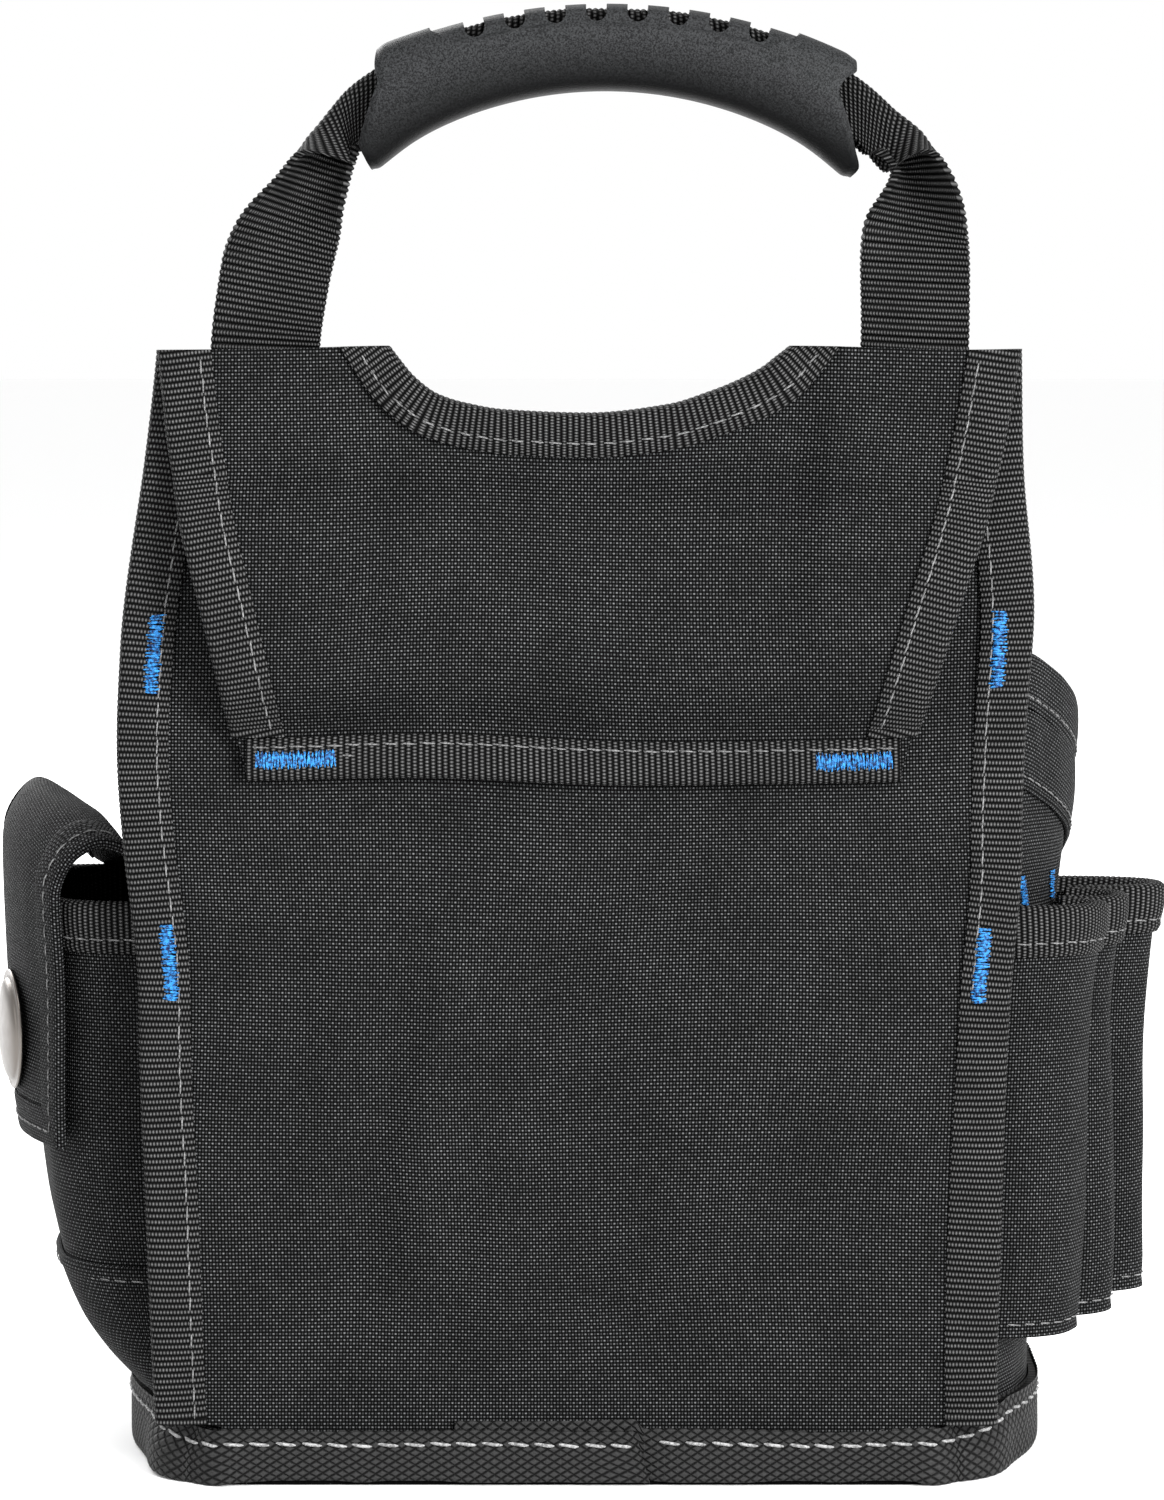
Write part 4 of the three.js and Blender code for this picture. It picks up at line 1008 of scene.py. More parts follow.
stripOuter = stripGrid(out)
seated = smooth(joinStart + overlap["seatFrom"], joinStart + overlap["seatTo"], even)
seated = seated * (1 - smooth(joinEnd + overlap["unseatFrom"], joinEnd + overlap["unseatTo"], even))
stripInner = stripGrid(np.minimum(out, outer + flare) - strip["thick"] - strip["seat"] * seated)
weave = pair(even, levels * strip["backHeight"])
piece = addWall("baseStripVinyl", stripOuter, stripInner, weave, vinylLook)
keep(piece, "vinyl", "base_strip")
faceIndex = strip["turnRows"] + np.arange(strip["rows"])
rowIndex = np.interp(strip["stitchDrop"] / top - 1, -face, faceIndex)
lowRow = np.floor(rowIndex).astype(int)
column = np.arange(strip["stations"])
seam = blendTo(stripOuter[lowRow, column], stripOuter[lowRow + 1, column], (rowIndex - lowRow)[:, None])
outs = xyz(normal[:, 0], normal[:, 1], 0)
shown = even < joinEnd - strip["stitchEnd"]
stitchRow("base", seam[shown], outs[shown], strip["stitchPitch"], strip["stitchThick"],
          strip["stitchSlant"])
declareCloth(baseTop)
print("base made")

# handle strap

strap = {"width": 25.4, "bendHalf": 3.5, "openBend": 6, "plane": backY - 1.2, "gripFold": 180, "rib": 0.25,
         "ribFall": 1.6, "scallop": 0.016, "step": 0.3, "columns": 33, "samples": 900, "inGrip": 8,
         "pastGrip": 2, "backFrom": 2, "drag": 9, "dragRun": 45, "dragSoft": 45, "bead": 0.3,
         "beadRun": 1.2, "beadThin": 0.8, "slim": 0.1}
# the folds, in radians, between which a change takes place
strapTurns = {"close": (0.6, 2.6), "setBack": (0.3, 2.9), "drag": (1.3, 2.5)}
gripTop = {"x": 5.2, "z": 218.6, "radius": 132, "from": -23.3, "to": 25.7}
gripUnder = {"x": 4.7, "z": 236.5, "radius": 93, "from": -37.2, "to": 39}
grip = {"halfDepth": 11, "roof": 1.5, "strapTop": 1.5, "endDip": 2.2, "boreHeight": 16.4, "boreHalf": 5,
        "boreFlare": 6.5, "stations": 256, "sides": 96, "outside": 3, "bore": 10, "slots": 8, "pitch": 9.75,
        "slotWidth": 4.8, "slotDepth": 5.4, "slotMiddle": 7.5, "slotLip": 0.6, "slotTop": 6,
        "slotReach": 20, "slotPoints": 15, "lipPoints": 5, "bandDepth": 6.0, "bandStep": 1.0,
        "bandEdge": 0.2, "bandRound": 3.5, "leftCollar": -35.6, "rightCollar": 49.5, "collarRun": 5.6,
        "rightRun": 1.2, "endFade": 0.1, "lip": 0.7, "lipRun": 0.01, "parting": 0.28, "partingDrop": 3.2,
        "partingHalf": 0.3}
# how far each end face is cut to the right, from its top (0) to its bottom (1)
gripEnds = {
    "part": [0, 0.06, 0.13, 0.2, 0.3, 0.39, 0.59, 0.77, 0.9, 1],
    "left": [-1.2, -1.2, -1.1, -0.7, 0.4, -0.2, -1.2, -1.8, 0.1, 2.2],
    "right": [-0.2, 0.5, 0.4, -2.5, -3.9, -3.2, -1.5, -0.4, 0.4, -2],
}
# the strap's route to the grip: fold closes it lengthwise, and back curls its inner half away
leftStrap = {
    "x": [-75.2, -75.2, -75, -72.7, -70.6, -66.9, -62.9, -57.4],
    "z": [246, 258, 270, 285.4, 294.8, 306.6, 318.6, 328.4],
    "fold": [1, 1, 1, 8, 34, 72, 98, 178],
    "back": [0, 0, 0, 0, 10, 60, 70, 0],
}
rightStrap = {
    "x": [71.4, 77, 79.4, 78.6, 77.2, 76.6, 76.2, 76, 76],
    "z": [326.4, 320, 311, 303, 295, 284, 270, 258, 246],
    "fold": [178, 104, 76, 50, 27, 8, 1, 1, 1],
    "back": [0, 70, 115, 75, 20, 0, 0, 0, 0],
}


def arcPoint(arc, degrees, radius):
    angle = np.radians(degrees)
    return arc["x"] + radius * np.sin(angle), arc["z"] + radius * np.cos(angle)


dip = grip["endDip"] * np.linspace(-1, 1, strap["inGrip"]) ** 4
past = strap["pastGrip"]
arcDegrees = np.linspace(gripTop["from"] - past, gripTop["to"] + past, strap["inGrip"])
arcX, arcZ = arcPoint(gripTop, arcDegrees, gripTop["radius"] - grip["strapTop"] - dip)
inGrip = {"x": arcX, "z": arcZ, "fold": np.full(strap["inGrip"], strap["gripFold"]), "back": dip * 0}
route = {key: np.concatenate([leftStrap[key], inGrip[key], rightStrap[key]]) for key in inGrip}
route["run"] = runOf(pair(route["x"], route["z"]))
guess = np.linspace(0, route["run"][-1], strap["samples"])
guessLine = eased(eased(pair(readTable(route, "run", "x", guess), readTable(route, "run", "z", guess))))
guessRun = runOf(guessLine)
run = np.linspace(0, guessRun[-1], int(guessRun[-1] / strap["step"]))
middle = pointsAt(run, guessRun, guessLine)
foldDegrees = np.interp(run, guessRun, readTable(route, "run", "fold", guess))
fold = np.radians(np.clip(foldDegrees, 0, strap["gripFold"]))
curlBack = np.radians(np.interp(run, guessRun, readTable(route, "run", "back", guess)))
tangent = unit(np.gradient(middle, axis=0))
inward = pair(tangent[:, 1], -tangent[:, 0])
half = strap["width"] / 2
# a half-folded strap curls widely, and the curl tightens as it closes
bend = blendTo(strap["openBend"], strap["bendHalf"], smooth(*strapTurns["close"], fold))
# the outer half folds over the front, and the inner half sits back to leave it room in the grip
gripHalf = 2 * strap["bendHalf"] / math.radians(strap["gripFold"])
setBack = 2 * gripHalf * smooth(*strapTurns["setBack"], fold)
widths = np.linspace(half, -half, strap["columns"])[:, None]
ribShape = 1 - (2 * np.mod(run / belting["ribPitch"], 1) - 1) ** 2 * strap["ribFall"]
w = widths * (1 + strap["scallop"] * ribShape)
turned = np.clip(bend - w, 0, 2 * bend) / (2 * bend) * fold
turned = turned - curlBack * np.clip((w - strap["backFrom"]) / (half - strap["backFrom"]), 0, 1)
halfway = (turned[1:] + turned[:-1]) / 2
stride = w[:-1] - w[1:]
curl = fold / (2 * bend)
still = np.zeros((1, len(run)))
centre = strap["columns"] // 2
out = np.concatenate([still, np.cumsum(np.cos(halfway) * stride, 0)])
out = out - out[centre] + np.sin(fold / 2) / curl - bend
ahead = np.concatenate([still, np.cumsum(np.sin(halfway) * stride, 0)])
ahead = ahead - ahead[centre] + (1 - np.cos(fold / 2)) / curl
# the front half is dragged out of the grip, so that it crosses at a slant
dragMean = np.ones(strap["dragSoft"]) / strap["dragSoft"]
dragged = np.convolve(smooth(*strapTurns["drag"], fold), dragMean, "same")
drag = strap["drag"] * np.clip((run - run[-1] / 2) / strap["dragRun"], -1, 1) * dragged
slide = drag * np.clip(-w / half, 0, 1)


def strapGrid(away):
    side = out - away * np.sin(turned)
    x = middle[:, 0] - inward[:, 0] * side + tangent[:, 0] * slide
    z = middle[:, 1] - inward[:, 1] * side + tangent[:, 1] * slide
    return xyz(x, strap["plane"] + setBack - ahead - away * np.cos(turned), z)


bead = strap["bead"] * smooth(half - strap["beadRun"], half, np.abs(widths))
thick = thickness["strap"] / 2 - strap["slim"] + strap["rib"] * ribShape * (1 + bead)
thick = thick - bead * strap["beadThin"]
piece = addWall("handleStrapWebbing", strapGrid(thick), strapGrid(-thick), pair(run, widths), strapLook,
                sharp=sharpness["tape"])
keep(piece, "webbing", "handle_strap")
print("strap made")

# grip

middleY = strap["plane"] + gripHalf
share = np.linspace(0, 1, grip["stations"])[:, None]
topDegrees = blendTo(gripTop["from"], gripTop["to"], share)
underDegrees = blendTo(gripUnder["from"], gripUnder["to"], share)
topX, topZ = arcPoint(gripTop, topDegrees, gripTop["radius"])
underX, underZ = arcPoint(gripUnder, underDegrees, gripUnder["radius"])
tall = np.hypot(topX - underX, topZ - underZ)
upX = (topX - underX) / tall
upZ = (topZ - underZ) / tall
slant = upX * np.sin(np.radians(topDegrees)) + upZ * np.cos(np.radians(topDegrees))
angles = (np.arange(grip["sides"]) + 0.5) * 2 * math.pi / grip["sides"]


def atEnds(left, right, run):
    return left * bump(0, run, share) + right * bump(1, run, share)


def gripRing(halfWide, highest, lowest, roundness, band):
    c, s = squareArc(angles, roundness)
    across = halfWide * c * np.ones_like(share)
    down = blendTo(highest, lowest, 0.5 - 0.5 * s)
    if band:
        soft = grip["bandEdge"]
        where = topX - upX * down
        sweep = grip["collarRun"] * smooth(0, 1, down / grip["bandDepth"])
        inside = smooth(-soft, soft, where - grip["leftCollar"] - sweep)
        inside = inside * smooth(-soft, soft, grip["rightCollar"] - sweep * grip["rightRun"] - where)
        inside = inside * (1 - smooth(grip["bandDepth"] - soft, grip["bandDepth"] + soft, down))
        step = inside * grip["bandStep"]
        lip = atEnds(grip["lip"], grip["lip"], grip["lipRun"])
        parting = grip["parting"] * bump(grip["bandDepth"] + grip["partingDrop"], grip["partingHalf"], down)
        across = across * (1 - (step + lip + parting) / halfWide)
        down = down + step * smooth(grip["bandRound"], 0, down) + lip * s
    part = np.clip(down / tall, 0, 1)
    leftCut = readTable(gripEnds, "part", "left", part)
    rightCut = readTable(gripEnds, "part", "right", part)
    x = topX - upX * down + atEnds(leftCut, rightCut, grip["endFade"])
    return xyz(x, middleY + across, topZ - upZ * down)


gripOuter = gripRing(grip["halfDepth"], tall * 0, tall, grip["outside"], True)
boreDepth = grip["roof"] + grip["boreHeight"] + grip["boreFlare"] * (2 * share - 1) ** 4
gripBore = gripRing(grip["boreHalf"], grip["roof"] / slant, boreDepth / slant, grip["bore"], False)
weave = pair(share, 0.5 - 0.5 * np.sin(angles))
sleeve = addWall("handleGripPlastic", gripOuter, gripBore, weave, gripLook, ring=True)


# a slot across the grip's top: a round foot, straight sides and a flared mouth
def slotOutline():
    half = grip["slotWidth"] / 2
    deep = half - grip["slotDepth"]
    lip = grip["slotLip"]
    outline = []
    for a in np.linspace(math.pi, 2 * math.pi, grip["slotPoints"]):
        outline.append((half * math.cos(a), deep + half * math.sin(a)))
    mouthSide = []
    for a in np.linspace(0, math.pi / 2, grip["lipPoints"]):
        mouthSide.append((half + lip * (1 - math.cos(a)), -lip + lip * math.sin(a)))
    mouthSide.append((half + lip, grip["slotTop"]))
    return outline + mouthSide + [(-px, pz) for px, pz in reversed(mouthSide)]


slotLine = np.array(slotOutline())
cutPoints = []
cutFaces = []
for i in range(grip["slots"]):
    along = grip["slotMiddle"] - gripTop["x"] + (i - (grip["slots"] - 1) / 2) * grip["pitch"]
    angle = along / gripTop["radius"]
    atX, atZ = arcPoint(gripTop, math.degrees(angle), gripTop["radius"])
    x = atX + slotLine[:, 0] * math.cos(angle) + slotLine[:, 1] * math.sin(angle)
    z = atZ - slotLine[:, 0] * math.sin(angle) + slotLine[:, 1] * math.cos(angle)
    start = 2 * i * len(slotLine)
    count = len(slotLine)
    for y in (middleY - grip["slotReach"], middleY + grip["slotReach"]):
        cutPoints.append(xyz(x, y, z) * mm)
    cutFaces.append([start + k for k in range(count)])
    cutFaces.append([start + count + k for k in reversed(range(count))])
    for k in range(count):
        after = (k + 1) % count
        cutFaces.append([start + k, start + count + k, start + count + after, start + after])
cutMesh = bpy.data.meshes.new("gripSlots")
cutMesh.from_pydata(np.concatenate(cutPoints).tolist(), [], cutFaces)
cutter = bpy.data.objects.new("gripSlots", cutMesh)
bpy.context.scene.collection.objects.link(cutter)
cut = sleeve.modifiers.new("slots", "BOOLEAN")
cut.object = cutter
cut.operation = "DIFFERENCE"
cut.solver = "EXACT"
bpy.context.view_layer.update()
cutSleeve = bpy.data.meshes.new_from_object(sleeve.evaluated_get(bpy.context.evaluated_depsgraph_get()))
sleeve.modifiers.clear()
sleeve.data = cutSleeve
cutSleeve.set_sharp_from_angle(angle=math.radians(sharpness["slots"]))
bpy.data.objects.remove(cutter)
keep(sleeve, "grip_plastic", "handle_grip")
print("grip made,", len(cutSleeve.polygons), "faces")

# tool loops

toolLoops = {
    "near": {"from": 9.5, "to": 35, "seat": 2, "rimReach": 14.5, "footReach": 14.8},
    "middle": {"from": 38.5, "to": 62.5, "seat": 0.6, "rimReach": 15.4, "footReach": 20},
    "far": {"from": 66, "to": 91, "seat": 0.4, "rimReach": 26.6, "footReach": 30.1},
}
loops = {"foot": 33.5, "rim": 135.5, "roundness": 2.5, "slopeStep": 0.01, "columns": 73, "rows": 44,
         "endTurn": 0.02, "level": 80.0, "tape": 11, "tapeEnd": 0.1, "tapeRib": 0.15, "stitchAt": 0.7,
         "stitch": 7.6, "stitchUp": 3.2, "footEnd": 0.3, "footSamples": 60, "footSunk": -0.2, "dent": 0.5,
         "dentHalf": 1.2, "tackDepths": (15.5, 35.5), "tackFrom": 136.5, "tackTo": 143.5,
         "tackLean": 0.42, "tackInsets": (0, 2.8), "tackHeight": 0.1}


def loopLine(loop):
    middle = (loop["from"] + loop["to"]) / 2
    half = (loop["to"] - loop["from"]) / 2

    def line(angle, z):
        c, s = squareArc(np.clip(angle, 0, math.pi), loops["roundness"])
        up = (z - loops["foot"]) / (loops["rim"] - loops["foot"])
        reach = blendTo(loop["footReach"], loop["rimReach"], up)
        depth = middle + half * c
        return gussetX(1.0, depth, z) + loop["seat"] + reach * np.maximum(0, s), depth
    return line


for name, loop in toolLoops.items():
    line = loopLine(loop)

    def loopPoint(angle, z, away, line=line):
        return planPoint(line, angle, z, away, loops["slopeStep"])

    def loopRim(angle, inset, away, face, at=loopPoint):
        return at(angle, loops["rim"] - inset, offFace(away, face, thickness["pocket"]))

    angles = np.linspace(loops["endTurn"], math.pi - loops["endTurn"], loops["columns"])
    zs = np.linspace(loops["foot"], loops["rim"], loops["rows"])[:, None]
    run = runOf(loopPoint(angles, loops["level"], 0.0))
    dent = loops["dent"] * bump(loops["foot"] + loops["stitchUp"], loops["dentHalf"], zs)
    stray = np.sin(angles) * (strayOf("loop", run, zs, len(name)) - dent)
    loopOuter = loopPoint(angles, zs, stray)
    loopInner = loopPoint(angles, zs, stray - thickness["pocket"])
    names = (f"toolLoop{name.title()}Cloth", f"tool_loop_{name}")
    cloth = addCloth(*names, loopOuter, loopInner, pair(run, zs))
    names = (f"toolLoop{name.title()}Binding", f"tool_loop_binding_{name}")
    stations = foldedTape(*names, loopRim, loops["tapeEnd"], math.pi - loops["tapeEnd"], loops["tape"],
                          rib=loops["tapeRib"], stitchAt=loops["stitchAt"])
    stitchOn("loops", loopRim, stations, loops["stitch"], seamHeight["tape"])
    footTurns = np.linspace(loops["footEnd"], math.pi - loops["footEnd"], loops["footSamples"])
    footInset = loops["rim"] - loops["foot"] - loops["stitchUp"]
    stitchOn("loops", loopRim, footTurns, footInset, loops["footSunk"])
    declareCloth(loopOuter)

for depth in loops["tackDepths"]:
    def place(z, inset, away, face, depth=depth):
        at = depth + inset + loops["tackLean"] * (loops["tackTo"] - z)
        return xyz(gussetX(1.0, at, z) + away, backY + at, z)
    bartackOn("loops", place, loops["tackFrom"], loops["tackTo"], loops["tackInsets"], loops["tackHeight"])
print("tool loops made")

# side pocket

pocketSections = {
    "z": [19, 27, 36, 50, 65, 85, 110, 124.5, 135.5],
    "reach": [0.6, 8.3, 14, 18.8, 21.2, 22, 22, 21.8, 21.8],
}
pocket = {"from": 14, "to": 92, "foot": 19, "rim": 135.5, "seat": 2, "roundness": 4, "slopeStep": 0.01,
          "level": 80.0, "step": 1.5, "endTurn": 0.01, "rows": 64, "lift": 2, "liftFrom": 0.8,
          "liftTo": 2.6, "riseFrom": 90, "riseTo": 120, "footCalm": 20, "sink": 0.2, "tape": 11,
          "tapeEnd": 0.06, "tapeRib": 0.15, "stitchAt": 0.7, "stitch": 7.6}
patchwork = {"top": 50, "rows": 26, "trim": 2, "bead": 0.3, "beadAt": 48, "beadHalf": 1.4, "stitchUp": 46.8}


def pocketLine(turn, z):
    c, s = squareArc(math.pi - np.clip(turn, 0, math.pi), pocket["roundness"])
    depth = (pocket["from"] + pocket["to"]) / 2 + (pocket["to"] - pocket["from"]) / 2 * c
    reach = readTable(pocketSections, "z", "reach", z)
    return gussetX(-1.0, depth, z) - pocket["seat"] - reach * np.maximum(0, s), depth


def pocketPoint(turn, z, away):
    return planPoint(pocketLine, turn, z, away, pocket["slopeStep"])


def pocketLift(turn):
    return pocket["lift"] * smooth(pocket["liftFrom"], pocket["liftTo"], turn)


def pocketRim(turn, inset, away, face):
    z = pocket["rim"] + pocketLift(turn) - inset
    return pocketPoint(turn, z, offFace(away, face, thickness["pocket"]))


def pocketLevel(turn):
    return pocketPoint(turn, pocket["level"], 0.0)


turns = evenStations(pocketLevel, pocket["endTurn"], math.pi - pocket["endTurn"], pocket["step"])
zs = np.linspace(pocket["foot"], pocket["rim"], pocket["rows"])[:, None]
lifted = zs + pocketLift(turns) * smooth(pocket["riseFrom"], pocket["riseTo"], zs)
run = runOf(pocketLevel(turns))
hold = np.sin(np.linspace(0, math.pi, len(turns))) * smooth(0, pocket["footCalm"], zs - pocket["foot"])
stray = hold * (strayOf("pocket", run, zs) - pocket["sink"])
pocketOuter = pocketPoint(turns, lifted, stray)
pocketInner = pocketPoint(turns, lifted, stray - thickness["pocket"])
sidePocket = addCloth("sidePocketCloth", "side_pocket", pocketOuter, pocketInner, pair(run, zs))
stations = foldedTape("sidePocketBinding", "side_pocket_binding", pocketRim, pocket["tapeEnd"],
                      math.pi - pocket["tapeEnd"], pocket["tape"], rib=pocket["tapeRib"],
                      stitchAt=pocket["stitchAt"])
stitchOn("pocket", pocketRim, stations, pocket["stitch"], seamHeight["tape"])
kept = slice(patchwork["trim"], -patchwork["trim"])
patchZ = np.linspace(pocket["foot"], patchwork["top"], patchwork["rows"])
patchStray = np.array([np.interp(patchZ, zs[:, 0], column) for column in stray.T[kept]]).T
patchZ = patchZ[:, None]
rise = bandThickness(patchZ, patchwork["top"])
rise = rise + patchwork["bead"] * bump(patchwork["beadAt"], patchwork["beadHalf"], patchZ)
patchOuter = pocketPoint(turns[kept], patchZ, patchStray + rise)
patchInner = pocketPoint(turns[kept], patchZ, patchStray + clearance)
addCloth("sidePocketPatchCloth", "side_pocket_patch", patchOuter, patchInner, pair(run[kept], patchZ))
stitchOn("pocket", pocketRim, turns[kept], pocket["rim"] - patchwork["stitchUp"], seamHeight["band"])
declareCloth(pocketOuter)

# pocket flap

flapRows = {
    "down": [0, 0.12, 0.25, 0.38, 0.5, 0.7, 0.87, 1],
    "z": [146, 150, 152, 149, 138, 112, 90, 78],
    "stand": [2, 5, 11.5, 18.5, 24.6, 25.6, 26, 25.9],
    "farZ": [138, 141, 149, 159.5, 149, 113, 90, 78],
    "farStand": [2, 12, 17.5, 25.5, 33.5, 31, 29, 28],
    "crest": [5, 11, 10.5, 7.5, 3, 0, 0, 0],
    "bulge": [0, 0, 0.6, 1.2, 2, 3.2, 3, 2],
}
pocketFlap = {"from": 14, "to": 92, "skew": 1.36, "rows": 72, "columns": 48, "length": 130,
              "slopeStep": 0.005, "hem": 9, "hemLength": 96, "tapeStart": 0.14, "stitch": 3.4,
              "stitchFrom": 0.02, "stitchTo": 2.98, "stitchSamples": 400, "stitchHeight": 0.6}
flapHem = {"gap": 0.12, "tape": 0.45, "puff": 0.12, "rib": 0.04, "step": 0.8}
flapWidth = pocketFlap["to"] - pocketFlap["from"]


def flapSurface(along, down):
    def row(column):
        return readTable(flapRows, "down", column, down)

    depth = blendTo(pocketFlap["from"], pocketFlap["to"], along)
    z = blendTo(row("z"), row("farZ"), along) + row("crest") * 4 * along * (1 - along)
    swell = 1 - (2 * np.maximum(0, along) ** pocketFlap["skew"] - 1) ** 2
    stand = blendTo(row("stand"), row("farStand"), along) + row("bulge") * swell
    return xyz(gussetX(-1.0, depth, z) - stand, backY + depth, z)


def flapNormal(along, down):
    step = pocketFlap["slopeStep"]
    alongRun = flapSurface(along + step, down) - flapSurface(along - step, down)
    downRun = flapSurface(along, down + step) - flapSurface(along, down - step)
    return unit(np.cross(alongRun, downRun))


def offFlap(along, down, away):
    along, down, away = np.broadcast_arrays(along, down, away)
    return flapSurface(along, down) + flapNormal(along, down) * away[..., None]


downs = np.linspace(0, 1, pocketFlap["rows"])[:, None]
alongs = np.linspace(0, 1, pocketFlap["columns"])[None, :]
stray = strayOf("pocketFlap", alongs * flapWidth, downs * pocketFlap["length"]) * np.sin(math.pi * alongs)
flapOuter = offFlap(alongs, downs, stray)
flapInner = offFlap(alongs, downs, stray - thickness["flap"])
downRun = runOf(flapOuter[:, pocketFlap["columns"] // 2])[:, None]
weave = pair(alongs * flapWidth, downRun)
flapCloth = addCloth("pocketFlapCloth", "pocket_flap", flapOuter, flapInner, weave)


# the flap's hem runs down its near edge, along its foot and up its far edge, mitred at the corners
def hemEdge(station, inset, away, face):
    hemAlong = pocketFlap["hem"] / flapWidth
    hemDown = pocketFlap["hem"] / pocketFlap["hemLength"]
    start = pocketFlap["tapeStart"]
    side = np.clip(station, 0, 1)
    foot = np.clip(station - 1, 0, 1)
    farSide = np.clip(station - 2, 0, 1)
    edgeDown = blendTo(start, 1, side) - (1 - start) * farSide
    innerAlong = blendTo(hemAlong, 1 - hemAlong, foot)
    innerDown = blendTo(start, 1 - hemDown, side) - (1 - hemDown - start) * farSide
    part = inset / pocketFlap["hem"]
    along = blendTo(foot, innerAlong, part)
    down = blendTo(edgeDown, innerDown, part)
    return offFlap(along, down, offFace(away, face, thickness["flap"]))


foldedTape("pocketFlapHem", "pocket_flap_binding", hemEdge, 0, 3, pocketFlap["hem"], clothLook,
           stitchAt=pocketFlap["stitch"] / pocketFlap["hem"], **flapHem)
hemStations = np.linspace(pocketFlap["stitchFrom"], pocketFlap["stitchTo"], pocketFlap["stitchSamples"])
stitchOn("pocket", hemEdge, hemStations, pocketFlap["stitch"], pocketFlap["stitchHeight"])
declareCloth(flapOuter)
print("side pocket and its flap made")

# snap

snap = {"along": 0.4, "down": 0.772, "sides": 72, "core": 0.05, "radius": 14.6, "rise": 3.4,
        "rimWide": 0.35, "rimHalf": 0.45, "rimPoints": 9, "domeIn": 2.1, "domeFoot": 1.0,
        "domeRound": 0.9, "domeFrom": 0.05, "domeTo": 1.5, "domePoints": 16, "studRadius": 6,
        "studHeight": 3.2, "studDrop": 0.8, "studRound": 0.5, "studPoints": 6}
# the dished ring between the cap's rim and its dome, inwards from the rim
snapDish = {"inside": [0.9, 1.3, 1.8], "height": [0.72, 0.74, 0.95]}


# a turned piece on the pocket flap: a closed profile of radius and height, spun about the flap's normal
def addTurned(name, profile, away, finish):
    along = np.array(snap["along"])
    down = np.array(snap["down"])
    foot = offFlap(along, down, np.array(away))
    axis = flapNormal(along, down)
    sideways = unit(np.cross(axis, [0, 0, 1]))
    upward = np.cross(sideways, axis)
    sides = snap["sides"]
    angle = np.arange(sides) * 2 * math.pi / sides
    spoke = sideways * np.cos(angle)[:, None] + upward * np.sin(angle)[:, None]
    profile = np.array(profile)
    points = foot + axis * profile[:, 1, None, None] + spoke[None] * profile[:, 0, None, None]
    quads = gridQuads(len(profile), sides, True)[0]
    last = gridQuads(2, sides, True)[0]
    close = np.where(last < sides, last + (len(profile) - 1) * sides, last - sides)
    flat = pair(angle, profile[:, 1, None]).reshape(-1, 2)
    quads = np.concatenate([quads, close])
    return addMesh(name, points.reshape(-1, 3), quads, flat, finish, sharpness["snap"])


def capProfile():
    radius = snap["radius"]
    foot = snap["domeFoot"]
    profile = [(snap["core"], 0.0)]
    for a in np.linspace(0, math.pi, snap["rimPoints"]):
        rim = radius - snap["rimWide"] + snap["rimWide"] * math.sin(a)
        profile.append((rim, snap["rimHalf"] - snap["rimHalf"] * math.cos(a)))
    for inside, height in zip(snapDish["inside"], snapDish["height"]):
        profile.append((radius - inside, height))
    for a in np.linspace(snap["domeFrom"], snap["domeTo"], snap["domePoints"]):
        dome = (radius - snap["domeIn"]) * math.cos(a) ** snap["domeRound"]
        profile.append((dome, foot + (snap["rise"] - foot) * math.sin(a)))
    return profile + [(snap["core"], snap["rise"])]


def studProfile():
    radius = snap["studRadius"]
    edge = snap["studRound"]
    profile = [(snap["core"], 0.0)]
    for a in np.linspace(0, math.pi / 2, snap["studPoints"]):
        profile.append((radius - edge + edge * math.sin(a), edge - edge * math.cos(a)))
    return profile + [(radius, snap["studHeight"]), (snap["core"], snap["studHeight"])]


keep(addTurned("snapCap", capProfile(), clearance, nickelLook), "nickel", "snap_cap")
studLow = -thickness["flap"] - snap["studDrop"] - snap["studHeight"]
keep(addTurned("snapStud", studProfile(), studLow, nickelLook), "nickel", "snap_stud")
print("snap made")

# sewing

for group, rows in threads.items():
    look = baseThreadLook if group == "base" else threadLook
    keep(addThread(f"stitches{group.title()}", rows, look), "thread")
for group, rows in bartacks.items():
    keep(addThread(f"bartacks{group.title()}", rows, bartackLook), "bartack_thread")
print("sewing made")

# floor, light and camera, in metres

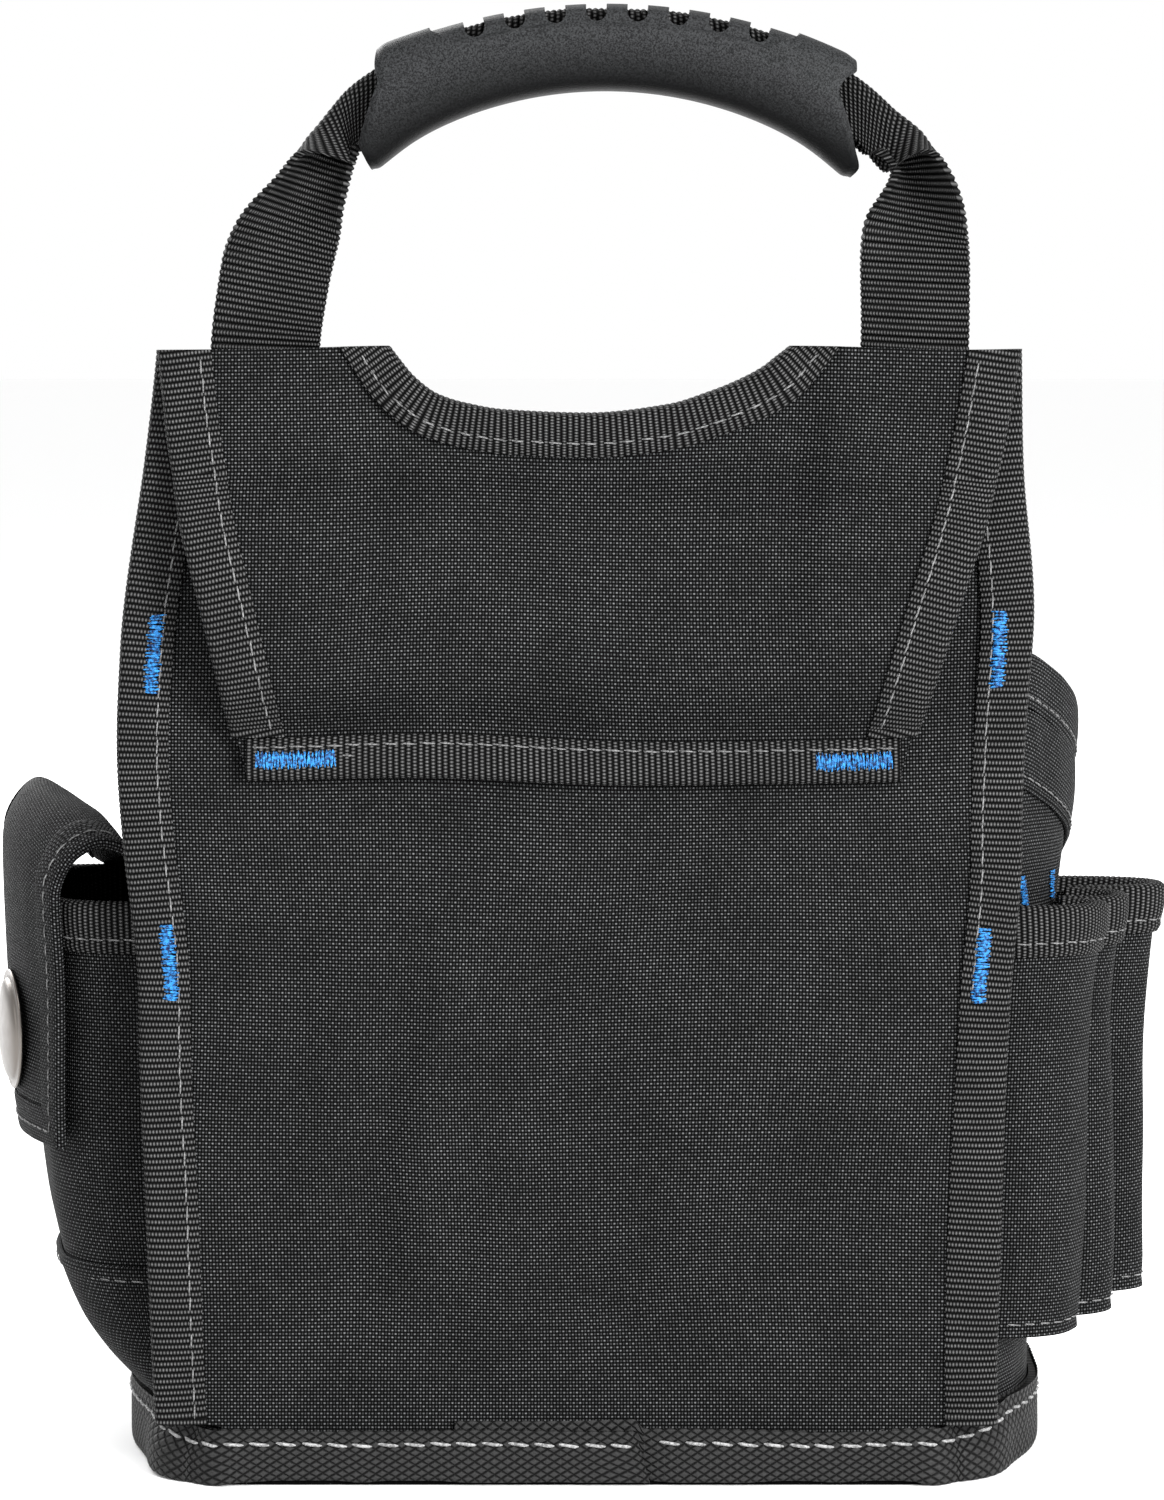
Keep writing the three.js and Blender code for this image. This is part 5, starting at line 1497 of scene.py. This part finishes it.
stage = {"half": 30, "level": 0.98, "rough": 0.9, "gloss": 0.1}
stageLook = Finish("pale floor")
stageLook.set(Base_Color=grey(stage["level"]), Roughness=stage["rough"], Specular_IOR_Level=stage["gloss"])
floorMesh = bpy.data.meshes.new("floor")
floorCorners = [(x * stage["half"], y * stage["half"], 0) for x, y in ((-1, -1), (1, -1), (1, 1), (-1, 1))]
floorMesh.from_pydata(floorCorners, [], [(0, 1, 2, 3)])
floorMesh.materials.append(stageLook.material)
floor = bpy.data.objects.new("floor", floorMesh)
bpy.context.scene.collection.objects.link(floor)
floor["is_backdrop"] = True

world = bpy.data.worlds.new("studio")
world.use_nodes = True
world.node_tree.nodes["Background"].inputs["Color"].default_value = (1, 1, 1, 1)
world.node_tree.nodes["Background"].inputs["Strength"].default_value = 1.0
bpy.context.scene.world = world
bpy.context.scene.view_settings.view_transform = "Standard"

lampAim = (0, 0, 0.17)
lamps = {
    "key": {"at": (1.4, -1.9, 0.9), "size": 0.8, "power": 125},
    "fill": {"at": (-1.9, -1.4, 0.9), "size": 1.6, "power": 10},
    "top": {"at": (0.1, -0.9, 1.7), "size": 0.8, "power": 14},
    "rear": {"at": (-1.1, 1.9, 1.3), "size": 1.8, "power": 70},
}
# the photograph's frame is 1164 x 1500, and its long side takes the sensor width
eye = {"at": (-0.0007, -1.253, 0.273), "aim": (-0.0007, -0.053, 0.1755), "lens": 122.8, "sensor": 36}


# a lamp or camera that looks at a point
def addLooking(name, data, at, aim):
    holder = bpy.data.objects.new(name, data)
    holder.location = at
    holder.rotation_euler = (Vector(aim) - holder.location).to_track_quat("-Z", "Y").to_euler()
    bpy.context.scene.collection.objects.link(holder)
    return holder


for name, lamp in lamps.items():
    light = bpy.data.lights.new(name, "AREA")
    light.size = lamp["size"]
    light.energy = lamp["power"]
    addLooking(name, light, lamp["at"], lampAim)
camera = bpy.data.cameras.new("eye")
camera.lens = eye["lens"]
camera.sensor_width = eye["sensor"]
bpy.context.scene.camera = addLooking("eye", camera, eye["at"], eye["aim"])
print("studio made")

low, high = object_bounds()
